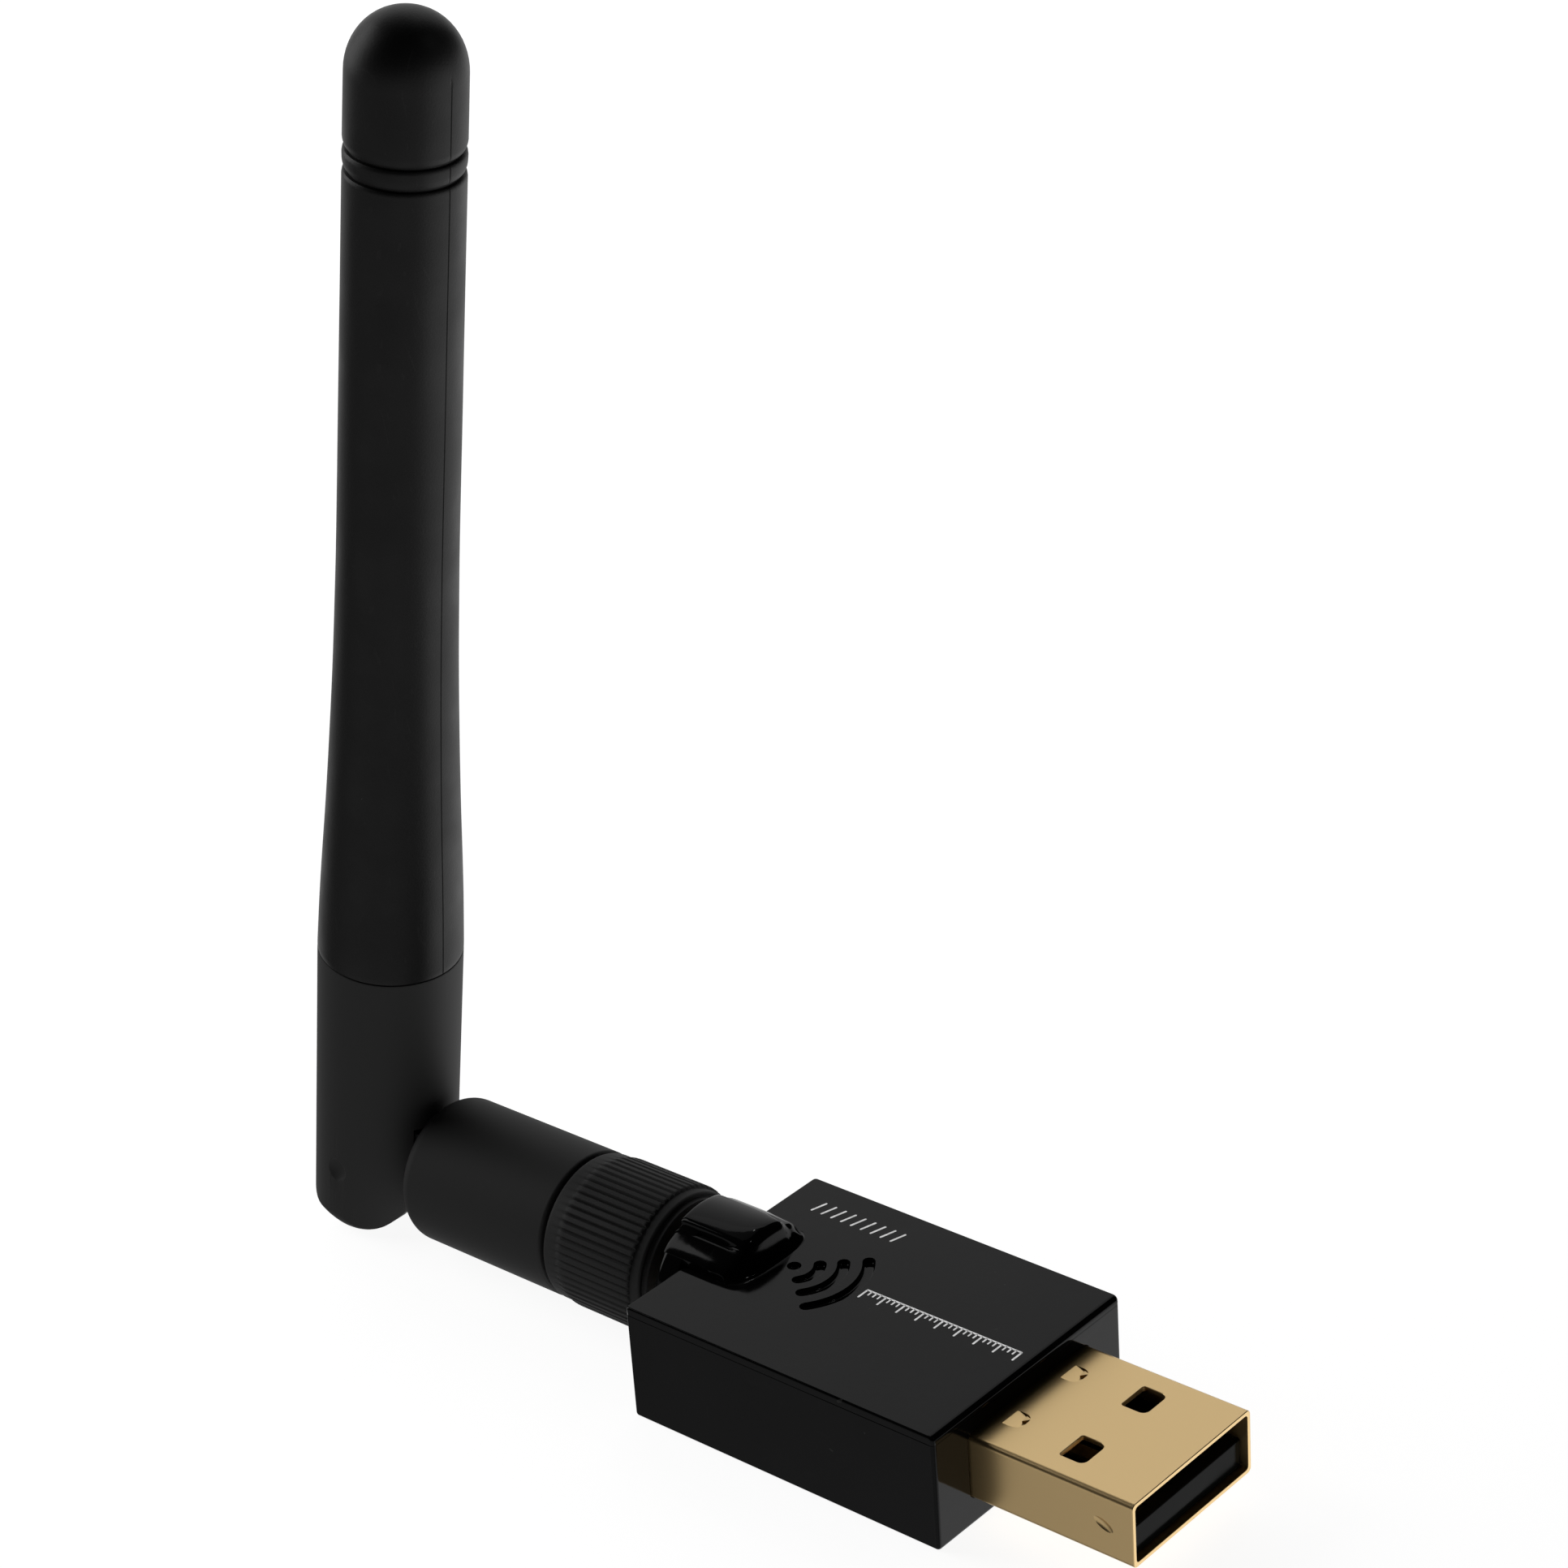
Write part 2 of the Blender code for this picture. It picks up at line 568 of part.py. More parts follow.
# ---- Connector on the antenna's side -------------------------------------------------------------
def connector(axis):
    """Ferrule, insulator, socket, retaining ring and the cable's lead inside the swivel base."""
    ferrule = [(-32.5, 1.75), (-32.5, 2.2), (-23.52, 2.2), (-23.52, 1.98), (-23.1, 1.98),
               (-23.1, 2.2), (-22.1, 2.2), (-22.1, 3.05), (-20.9, 3.05), (-20.9, 2.28),
               (-17.1, 2.28), (-17.0, 2.15), (-17.0, 1.75)]
    turned("connector_ferrule", ferrule, "brass", axis)
    turned("connector_insulator", tube_profile(-24.4, -17.3, 0.87, 1.7), "white_insulator", axis,
           steps=32)
    socket = [(-24.6, 0.0), (-24.6, 0.8), (-17.5, 0.8), (-17.5, 0.52), (-21.5, 0.52), (-21.5, 0.0)]
    turned("connector_socket", socket, "contact_gold", axis, steps=24)
    retaining_ring(axis)
    turned("coax_lead", tube_profile(-35.6, -24.75, 0.0, 0.75), "cable_brown", axis, steps=20)


def retaining_ring(axis):
    """Open spring ring in the ferrule's groove, which keeps the nut on the ferrule."""
    outline = arc((0, 0), 2.9, 20, 340, 30) + arc((0, 0), 2.03, 340, 20, 30)
    bm = bmesh.new()
    prism_x(bm, outline, (-23.46, -23.16))
    return place("retaining_ring", bm, "spring_steel", axis)


def nut_ring(radius, rib):
    """One ring of the nut's outer skin, with ribs when the rib height isn't zero."""
    points = []
    for index in range(NUT_RIBS):
        for step, height in ((0.0, 0.0), (0.5, rib)):
            angle = 2 * math.pi * (index + step) / NUT_RIBS
            reach = radius - rib + height
            points.append((reach * math.sin(angle), reach * math.cos(angle)))
    return points


def skin(bm, rings):
    """Join rings of (x, outline) in order, and the last one to the first."""
    loops = []
    for x, outline in rings:
        loops.append([bm.verts.new((x, y, z)) for y, z in outline])
    for first, second in zip(loops, loops[1:] + loops[:1]):
        count = len(first)
        for index in range(count):
            after = (index + 1) % count
            bm.faces.new((first[index], first[after], second[after], second[index]))


def coupling_nut(axis):
    """Ribbed plastic skin of the nut."""
    rear, front = NUT_X
    rib = 0.16
    bore = 4.2
    stop_x = -23.1
    rings = [(rear, nut_ring(4.85, 0)), (rear + 0.35, nut_ring(5.05, 0)),
             (rear + 0.9, nut_ring(5.05, 0)),
             (rear + 1.3, nut_ring(NUT_RADIUS, rib)), (front - 1.15, nut_ring(NUT_RADIUS, rib)),
             (front - 0.95, nut_ring(4.98, 0)), (front - 0.15, nut_ring(4.95, 0)),
             (front, nut_ring(4.8, 0)), (front, nut_ring(bore, 0)), (stop_x, nut_ring(bore, 0)),
             (stop_x, nut_ring(3.1, 0)), (rear, nut_ring(3.1, 0))]
    bm = bmesh.new()
    skin(bm, rings)
    nut = smooth(place("coupling_nut", bm, "matte_black", axis), 25)
    insert = [(-22.95, 2.35), (-22.95, 4.1), (front - 0.3, 4.1), (front - 0.3, 3.5), (front - 0.6, 3.27),
              (-22.25, 3.27), (-22.25, 2.35)]
    turned("nut_insert", insert, "brass", axis)
    return nut


# ---- Swivel base ---------------------------------------------------------------------------------
def swivel_base(axis):
    """Round base that turns on the ferrule, with the tongue that the antenna folds on."""
    end, front = BASE_X
    corner = (end + BASE_END_ROUND, BASE_RADIUS - BASE_END_ROUND)
    profile = [(-36.0, 0.0), (end, 0.0)]
    profile += arc(corner, BASE_END_ROUND, 180, 90, 6)
    profile += [(front - 0.2, BASE_RADIUS), (front, BASE_RADIUS - 0.2), (front, 2.3),
                (-32.8, 2.3), (-32.8, 1.0), (-36.0, 1.0)]
    base = turned("swivel_base", profile, "matte_black", axis)
    outline = arc((HINGE_X, 0), TONGUE_RADIUS, 90, 270, 16)
    outline += [(end + 0.6, -TONGUE_RADIUS), (end + 0.6, TONGUE_RADIUS)]
    bm = bmesh.new()
    prism_y(bm, outline, (-TONGUE_HALF, TONGUE_HALF))
    combine(base, place("add_tongue", bm, None, axis), "UNION")
    bm = bmesh.new()
    hole = arc((HINGE_X, 0), PIN_RADIUS + 0.08, 0, 345, 23)
    prism_y(bm, hole, (-TONGUE_HALF - 1, TONGUE_HALF + 1))
    return combine(base, place("cut_tongue_hole", bm, None, axis), "DIFFERENCE")


# ---- Antenna -------------------------------------------------------------------------------------
def hinge_pin(hinge):
    """Steel pin through the knuckle's cheeks and the base's tongue."""
    bm = bmesh.new()
    prism_y(bm, arc((0, 0), PIN_RADIUS, 0, 345, 23), (-PIN_HALF, PIN_HALF))
    return smooth(place("hinge_pin", bm, "spring_steel", hinge))


def antenna_knuckle(hinge):
    """Lower end of the antenna: two cheeks about the tongue, a round foot and a spigot on top."""
    shoulder = SHEATH_FOOT - 0.2
    spigot_top = 21.0
    bore = 0.95
    profile = [(spigot_top, bore), (spigot_top, 3.35), (spigot_top - 0.2, 3.55), (shoulder, 3.55),
               (shoulder, KNUCKLE_RADIUS), (-KNUCKLE_FOOT - 1, KNUCKLE_RADIUS),
               (-KNUCKLE_FOOT - 1, bore)]
    knuckle = turned("antenna_knuckle", profile, "matte_black", hinge, along="Z")
    reach = KNUCKLE_RADIUS + 2
    outline = [(KNUCKLE_FOOT, spigot_top + 2), (-KNUCKLE_FOOT, spigot_top + 2)]
    outline += arc((0, 0), KNUCKLE_FOOT, 180, 360, 28)
    bm = bmesh.new()
    prism_y(bm, outline, (-reach, reach))
    combine(knuckle, place("keep_foot", bm, None, hinge), "INTERSECT")
    slot = box_object("cut_slot", (-TONGUE_RADIUS - 0.5, -SLOT_HALF, -KNUCKLE_FOOT - 2),
                      (reach, SLOT_HALF, 4.2), None, hinge)
    combine(knuckle, slot, "DIFFERENCE")
    combine(knuckle, pin_holes(hinge), "DIFFERENCE")
    return knuckle


def pin_holes(hinge):
    """Cutter for the blind pin holes, and for the shallow dimple outside each cheek."""
    bm = bmesh.new()
    hole = arc((0, 0), PIN_RADIUS + 0.05, 0, 345, 23)
    for side in (-1, 1):
        near, far = sorted((side * (SLOT_HALF - 0.5), side * (PIN_HALF + 0.1)))
        prism_y(bm, hole, (near, far))
        dish = 2.6
        centre = (0, side * (KNUCKLE_RADIUS + dish - 0.24), 0)
        bmesh.ops.create_uvsphere(bm, u_segments=32, v_segments=24, radius=dish,
                                  matrix=Matrix.Translation(centre))
    return place("cut_pin_holes", bm, None, hinge)


def sheath_profile():
    """Closed profile of the sheath: outline with two grooves, domed tip and blind bore."""
    profile = list(SHEATH_OUTLINE)
    waist = SHEATH_OUTLINE[-1][1]
    for centre in GROOVES:
        profile += [(centre - GROOVE_WIDTH / 2, waist - 0.04), (centre - 0.08, waist - GROOVE_DEPTH),
                    (centre + 0.08, waist - GROOVE_DEPTH), (centre + GROOVE_WIDTH / 2, waist - 0.04)]
    height = SHEATH_TIP - DOME_FOOT
    for step in range(9):
        angle = math.radians(90 * step / 8)
        profile.append((DOME_FOOT + height * math.sin(angle), max(DOME_RADIUS * math.cos(angle), 0.0)))
    profile[-1] = (SHEATH_TIP, 0.0)
    profile += [(76.0, 0.0), (76.0, 2.95), (22.0, 2.95), (21.5, 3.65), (SHEATH_FOOT, 3.65)]
    return profile


def antenna(hinge):
    """Everything that folds about the hinge pin."""
    hinge_pin(hinge)
    antenna_knuckle(hinge)
    turned("antenna_sheath", sheath_profile(), "rubber_black", hinge, along="Z")
    turned("coax_feed", tube_profile(5.4, 46.5, 0.0, 0.75), "cable_brown", hinge, along="Z", steps=20)
    sleeve = [(23.5, 1.85), (23.5, 2.1), (46.2, 2.1), (46.2, 0.85), (45.6, 0.85), (45.6, 1.85)]
    turned("radiator_sleeve", sleeve, "brass", hinge, along="Z", steps=32)
    tip = [(46.65, 0.0), (46.65, 0.4), (51.0, 0.4), (51.0, 1.5), (71.0, 1.5), (71.0, 0.0)]
    turned("radiator_tip", tip, "brass", hinge, along="Z", steps=24)


def main():
    """Build every piece."""
    clear_scene()
    housing_base()
    housing_top()
    jack_turret()
    usb_shell()
    usb_tongue()
    usb_contacts()
    main_board()
    board_parts()
    antenna_jack(empty("jack_axis", (0, 0, AXIS_Z)))
    slide = empty("connector_axis", (0, 0, AXIS_Z))
    connector(slide)
    coupling_nut(empty("nut_axis", (0, 0, AXIS_Z)))
    swivel_base(empty("swivel_axis", (0, 0, AXIS_Z)))
    antenna(empty("hinge_axis", (HINGE_X, 0, AXIS_Z), (0, LEAN, 0)))


main()
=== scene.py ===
"""Looks of a small USB Wi-Fi adapter with a screw-on, folding rod antenna.

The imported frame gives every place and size. Pieces are drawn in millimetres on the bench,
brought to metres when they are finished, and then ride on the frame's bodies.
"""
from __future__ import annotations

import json
import logging
import math
from dataclasses import dataclass, field
from enum import Enum
from typing import Callable, Iterable, Sequence

import bpy
from mathutils import Matrix, Vector


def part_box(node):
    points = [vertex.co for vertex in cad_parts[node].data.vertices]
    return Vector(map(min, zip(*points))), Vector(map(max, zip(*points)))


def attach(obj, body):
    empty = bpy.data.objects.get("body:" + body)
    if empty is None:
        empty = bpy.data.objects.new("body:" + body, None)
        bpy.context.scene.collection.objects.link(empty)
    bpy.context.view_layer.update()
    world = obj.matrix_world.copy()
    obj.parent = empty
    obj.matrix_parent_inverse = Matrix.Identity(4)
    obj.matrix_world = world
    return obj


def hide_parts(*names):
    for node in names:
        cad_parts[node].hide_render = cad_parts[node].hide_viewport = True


LOG = logging.getLogger("wifi_adapter")
MM = 0.001

Point2 = tuple[float, float]
Point3 = tuple[float, float, float]
Colour = tuple[float, float, float]


class Body(Enum):
    """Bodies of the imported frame."""

    ADAPTER = "adapter"
    CONNECTOR = "connector"
    NUT = "nut"
    SWIVEL = "swivel"
    ANTENNA = "antenna"


class Slot(Enum):
    """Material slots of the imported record."""

    HOUSING = "housing"
    PLUG_GOLD = "plug_gold"
    INSULATOR = "plug_insulator"
    CONTACT = "contact_gold"
    SATIN = "satin_black"
    SHEATH = "sheath"


class Axis(Enum):
    """Directions along which outlines are extruded and profiles are spun."""

    X = 0
    Y = 1
    Z = 2


class Cut(Enum):
    """What a Boolean does with its tool."""

    TAKE_AWAY = "DIFFERENCE"
    JOIN = "UNION"
    KEEP_COMMON = "INTERSECT"


# ---- Geometry on paper --------------------------------------------------------------------------
@dataclass(frozen=True)
class Span:
    """A box between two corners, in millimetres."""

    low: Vector
    high: Vector

    @classmethod
    def of_node(cls, node: str) -> "Span":
        """The box of a node of the frame at rest.

        Args:
            node: Name of the node.

        Returns:
            Its box in millimetres.
        """
        low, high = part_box(node)
        return cls(Vector(low) / MM, Vector(high) / MM)


def arc(centre: Point2, radius: float, start: float, end: float, steps: int) -> list[Point2]:
    """Points on an arc, both ends included.

    Args:
        centre: Middle of the circle.
        radius: Its radius.
        start: First angle in degrees.
        end: Last angle in degrees.
        steps: Number of steps between them.

    Returns:
        The points in order.
    """
    points = []
    for index in range(steps + 1):
        angle = math.radians(start + (end - start) * index / steps)
        points.append((centre[0] + radius * math.cos(angle), centre[1] + radius * math.sin(angle)))
    return points


def pill(centre: Point2, length: float, width: float, turn: float = 0.0, steps: int = 6) -> list[Point2]:
    """Outline of a slot with round ends.

    Args:
        centre: Middle of the slot.
        length: Overall length.
        width: Overall width.
        turn: Direction of its length in degrees.
        steps: Steps in each round end.

    Returns:
        The outline, counterclockwise.
    """
    radius = width / 2
    half = length / 2 - radius
    cos, sin = math.cos(math.radians(turn)), math.sin(math.radians(turn))
    far = (centre[0] + half * cos, centre[1] + half * sin)
    near = (centre[0] - half * cos, centre[1] - half * sin)
    return arc(far, radius, turn - 90, turn + 90, steps) + arc(near, radius, turn + 90, turn + 270, steps)


def round_box(centre: Point2, size: Point2, rounds: Sequence[float], steps: int = 5) -> list[Point2]:
    """Outline of a rectangle whose corners have their own rounds.

    Args:
        centre: Middle of the rectangle.
        size: Its two sides.
        rounds: Corner radii, counterclockwise from the (+, +) corner.
        steps: Steps in each corner.

    Returns:
        The outline, counterclockwise.
    """
    points: list[Point2] = []
    signs = ((1, 1, 0), (-1, 1, 90), (-1, -1, 180), (1, -1, 270))
    for (side_a, side_b, start), radius in zip(signs, rounds):
        corner = (centre[0] + side_a * (size[0] / 2 - radius), centre[1] + side_b * (size[1] / 2 - radius))
        points += arc(corner, radius, start, start + 90, steps)
    return points


def flowing(points: Sequence[Point2], step: float) -> list[Point2]:
    """A smooth curve through points, which are in order along the first coordinate.

    Args:
        points: The points to pass through.
        step: Spacing of the result along the first coordinate.

    Returns:
        Points on the curve, the given ends included.
    """
    slopes = []
    for index in range(len(points)):
        before = points[max(index - 1, 0)]
        after = points[min(index + 1, len(points) - 1)]
        slopes.append((after[1] - before[1]) / (after[0] - before[0]))
    curve: list[Point2] = []
    for index in range(len(points) - 1):
        (x0, y0), (x1, y1) = points[index], points[index + 1]
        width = x1 - x0
        count = max(1, round(width / step))
        for part in range(count):
            t = part / count
            t2, t3 = t * t, t * t * t
            y = ((2 * t3 - 3 * t2 + 1) * y0 + (t3 - 2 * t2 + t) * width * slopes[index]
                 + (-2 * t3 + 3 * t2) * y1 + (t3 - t2) * width * slopes[index + 1])
            curve.append((x0 + width * t, y))
    curve.append(points[-1])
    return curve


# ---- The bench ----------------------------------------------------------------------------------
class Bench:
    """Hand tools: primitives are added, shaped in edit mode and finished with modifiers."""

    @staticmethod
    def clear() -> None:
        """Leave edit mode with nothing selected."""
        if bpy.context.object is not None and bpy.context.object.mode != "OBJECT":
            bpy.ops.object.mode_set(mode="OBJECT")
        bpy.ops.object.select_all(action="DESELECT")

    @staticmethod
    def name(label: str) -> bpy.types.Object:
        """Name the object that was just added.

        Args:
            label: Its name.

        Returns:
            The object.
        """
        obj = bpy.context.active_object
        obj.name = label
        obj.data.name = label
        return obj

    @classmethod
    def take(cls, obj: bpy.types.Object) -> bpy.types.Object:
        """Make an object the only selected one.

        Args:
            obj: The object.

        Returns:
            The same object.
        """
        cls.clear()
        obj.select_set(True)
        bpy.context.view_layer.objects.active = obj
        return obj

    @staticmethod
    def settle() -> None:
        """Put the selected object's place, turn and scale into its mesh."""
        bpy.ops.object.transform_apply(location=True, rotation=True, scale=True)

    @classmethod
    def block(cls, label: str, low: Sequence[float], high: Sequence[float]) -> bpy.types.Object:
        """A cube primitive at its size and place.

        Args:
            label: Name of the new object.
            low: Lowest corner.
            high: Highest corner.

        Returns:
            The object, with its place in its mesh.
        """
        cls.clear()
        low_corner, high_corner = Vector(low), Vector(high)
        bpy.ops.mesh.primitive_cube_add(size=1.0, location=(low_corner + high_corner) / 2,
                                        scale=high_corner - low_corner)
        obj = cls.name(label)
        Bench.settle()
        return obj

    @classmethod
    def ball(cls, label: str, centre: Sequence[float], radius: float) -> bpy.types.Object:
        """A sphere primitive at its size and place, used as a tool for dimples.

        Args:
            label: Name of the new object.
            centre: Its middle.
            radius: Its radius.

        Returns:
            The object.
        """
        cls.clear()
        bpy.ops.mesh.primitive_uv_sphere_add(segments=64, ring_count=48, radius=radius, location=centre)
        obj = cls.name(label)
        Bench.settle()
        return obj

    # -- selecting by place --
    @classmethod
    def _pick(cls, obj: bpy.types.Object, mode: str) -> bpy.types.Mesh:
        """Drop the selection and set the select mode.

        Args:
            obj: The object.
            mode: VERT, EDGE or FACE.

        Returns:
            The object's mesh, in object mode.
        """
        cls.take(obj)
        bpy.context.tool_settings.mesh_select_mode = (mode == "VERT", mode == "EDGE", mode == "FACE")
        mesh = obj.data
        for items in (mesh.vertices, mesh.edges, mesh.polygons):
            items.foreach_set("select", [False] * len(items))
        return mesh

    @classmethod
    def verts(cls, obj: bpy.types.Object, test: Callable[[Vector], bool]) -> None:
        """Select vertices by place and enter edit mode.

        Args:
            obj: The object.
            test: True for the position of a vertex to select.
        """
        mesh = cls._pick(obj, "VERT")
        for vertex in mesh.vertices:
            vertex.select = test(vertex.co)
        bpy.ops.object.mode_set(mode="EDIT")

    @classmethod
    def edges(cls, obj: bpy.types.Object, test: Callable[[Vector, Vector], bool]) -> None:
        """Select edges by place and enter edit mode.

        Args:
            obj: The object.
            test: True for the two ends of an edge to select.
        """
        mesh = cls._pick(obj, "EDGE")
        for edge in mesh.edges:
            ends = [mesh.vertices[index].co for index in edge.vertices]
            if test(ends[0], ends[1]):
                edge.select = True
                for index in edge.vertices:
                    mesh.vertices[index].select = True
        bpy.ops.object.mode_set(mode="EDIT")

    @classmethod
    def faces(cls, obj: bpy.types.Object, test: Callable[[Vector, Vector], bool]) -> None:
        """Select faces by place and normal and enter edit mode.

        Args:
            obj: The object.
            test: True for the centre and normal of a face to select.
        """
        mesh = cls._pick(obj, "FACE")
        for face in mesh.polygons:
            face.select = test(face.center, face.normal)
        bpy.ops.object.mode_set(mode="EDIT")

    # -- edit-mode strokes --
    @staticmethod
    def extrude(move: Sequence[float]) -> None:
        """Extrude the selection by a move."""
        bpy.ops.mesh.extrude_region_move(TRANSFORM_OT_translate={"value": tuple(move)})

    @staticmethod
    def move(move: Sequence[float]) -> None:
        """Move the selection."""
        bpy.ops.transform.translate(value=tuple(move))

    @staticmethod
    def resize(factors: Sequence[float], centre: Sequence[float]) -> None:
        """Scale the selection about a point."""
        bpy.ops.transform.resize(value=tuple(factors), center_override=tuple(centre))

    @staticmethod
    def inset(thickness: float) -> None:
        """Inset the selected faces."""
        bpy.ops.mesh.inset(thickness=thickness, use_even_offset=True)

    @staticmethod
    def bevel(width: float, segments: int) -> None:
        """Round the selected edges."""
        bpy.ops.mesh.bevel(offset=width, segments=segments, profile=0.5, affect="EDGES", clamp_overlap=True)

    @staticmethod
    def close() -> None:
        """Merge doubles, make the faces point outwards and leave edit mode."""
        bpy.ops.mesh.select_all(action="SELECT")
        bpy.ops.mesh.remove_doubles(threshold=0.0005)
        bpy.ops.mesh.normals_make_consistent(inside=False)
        bpy.ops.object.mode_set(mode="OBJECT")

    # -- outlines, prisms and turned pieces --
    @classmethod
    def chain(cls, label: str, points: Sequence[Point3]) -> bpy.types.Object:
        """Draw a chain of edges, vertex by vertex, and stay in edit mode.

        Args:
            label: Name of the new object.
            points: The vertices in order.

        Returns:
            The object.
        """
        cls.clear()
        bpy.ops.mesh.primitive_plane_add(size=1.0, location=(0, 0, 0))
        obj = cls.name(label)
        bpy.ops.object.mode_set(mode="EDIT")
        bpy.ops.mesh.select_mode(type="VERT")
        bpy.ops.mesh.select_all(action="SELECT")
        bpy.ops.mesh.merge(type="CENTER")
        cls.move(points[0])
        for before, after in zip(points, points[1:]):
            cls.extrude(Vector(after) - Vector(before))
        return obj

    @classmethod
    def prism(cls, label: str, outline: Sequence[Point2], axis: Axis, ends: Point2) -> bpy.types.Object:
        """Fill an outline and extrude it along an axis.

        Args:
            label: Name of the new object.
            outline: Points in the plane across the axis: (y, z), (x, z) or (x, y).
            axis: The direction of the extrusion.
            ends: Start and end along the axis.

        Returns:
            The closed solid.
        """
        def lift(point: Point2) -> Point3:
            """A point of the outline at the start of the prism."""
            values = list(point)
            values.insert(axis.value, ends[0])
            return values[0], values[1], values[2]

        obj = cls.chain(label, [lift(point) for point in outline])
        bpy.ops.mesh.select_all(action="SELECT")
        bpy.ops.mesh.edge_face_add()
        along = [0.0, 0.0, 0.0]
        along[axis.value] = ends[1] - ends[0]
        cls.extrude(along)
        cls.close()
        return obj

    @classmethod
    def turned(cls, label: str, profile: Sequence[Point2], axis: Axis, steps: int,
               about: Sequence[float] = (0.0, 0.0, 0.0)) -> bpy.types.Object:
        """Spin a profile of (distance along the axis, radius) points.

        Args:
            label: Name of the new object.
            profile: The points in order; a profile that starts and ends on the axis makes a closed
                solid, and any other is given closed, its first point repeated at its end.
            axis: The axis of the turn.
            steps: Steps in the full turn.
            about: A point on the axis.

        Returns:
            The solid.
        """
        centre = Vector(about)
        if axis is Axis.X:
            points = [(along, centre.y, centre.z + radius) for along, radius in profile]
            direction = (1.0, 0.0, 0.0)
        elif axis is Axis.Y:
            points = [(centre.x + radius, along, centre.z) for along, radius in profile]
            direction = (0.0, 1.0, 0.0)
        else:
            points = [(centre.x + radius, centre.y, along) for along, radius in profile]
            direction = (0.0, 0.0, 1.0)
        obj = cls.chain(label, points)
        bpy.ops.mesh.select_all(action="SELECT")
        bpy.ops.mesh.spin(steps=steps, angle=2 * math.pi, use_auto_merge=True, center=tuple(centre),
                          axis=direction)
        cls.close()
        return obj

    # -- modifiers and joining --
    @classmethod
    def modify(cls, obj: bpy.types.Object, kind: str, **settings: object) -> None:
        """Add a modifier and apply it.

        Args:
            obj: The piece.
            kind: Type of the modifier.
            settings: Its properties.
        """
        cls.take(obj)
        bpy.ops.object.modifier_add(type=kind)
        modifier = obj.modifiers[-1]
        for key, value in settings.items():
            setattr(modifier, key, value)
        bpy.ops.object.modifier_apply(modifier=modifier.name)

    @classmethod
    def boolean(cls, obj: bpy.types.Object, tool: bpy.types.Object, how: Cut) -> bpy.types.Object:
        """Combine an object with a tool and put the tool away.

        Args:
            obj: The piece.
            tool: The tool, which is removed.
            how: What to do with it.

        Returns:
            The piece.
        """
        cls.modify(obj, "BOOLEAN", operation=how.value, solver="EXACT", object=tool)
        bpy.data.objects.remove(tool, do_unlink=True)
        return obj

    @classmethod
    def weighted_bevel(cls, obj: bpy.types.Object, width: float, segments: int,
                       weight: Callable[[Vector, Vector], float]) -> bpy.types.Object:
        """Round edges, each by its own share of the width.

        Args:
            obj: The piece.
            width: Width of a full round.
            segments: Steps in each round.
            weight: Share of the width for the two ends of an edge, or zero.

        Returns:
            The piece.
        """
        cls.take(obj)
        mesh = obj.data
        layer = mesh.attributes.new("bevel_weight_edge", "FLOAT", "EDGE")
        shares = []
        for edge in mesh.edges:
            first, second = (mesh.vertices[index].co for index in edge.vertices)
            shares.append(weight(first, second))
        layer.data.foreach_set("value", shares)
        cls.modify(obj, "BEVEL", limit_method="WEIGHT", width=width, segments=segments)
        left = obj.data.attributes.get("bevel_weight_edge")
        if left is not None:
            obj.data.attributes.remove(left)
        return obj

    @classmethod
    def copies(cls, obj: bpy.types.Object, moves: Iterable[Sequence[float]]) -> bpy.types.Object:
        """Copy a piece to other places and join the copies with it.

        Args:
            obj: The piece.
            moves: Move of each copy.

        Returns:
            The joined piece.
        """
        made = [obj]
        for move in moves:
            twin = obj.copy()
            twin.data = obj.data.copy()
            bpy.context.collection.objects.link(twin)
            twin.location = Vector(move)
            made.append(twin)
        cls.clear()
        for item in made:
            item.select_set(True)
        bpy.context.view_layer.objects.active = obj
        bpy.ops.object.transform_apply(location=True, rotation=False, scale=False)
        bpy.ops.object.join()
        return obj

    @classmethod
    def finish(cls, obj: bpy.types.Object, smooth: float = 35.0) -> bpy.types.Object:
        """Bring a piece from millimetres to metres and shade it.

        Args:
            obj: The piece.
            smooth: Edges under this angle in degrees are shaded smooth.

        Returns:
            The piece, unscaled and at the origin.
        """
        cls.take(obj)
        obj.scale = (MM, MM, MM)
        cls.settle()
        bpy.ops.object.shade_smooth_by_angle(angle=math.radians(smooth))
        cls.modify(obj, "WEIGHTED_NORMAL", keep_sharp=True, weight=50)
        return obj


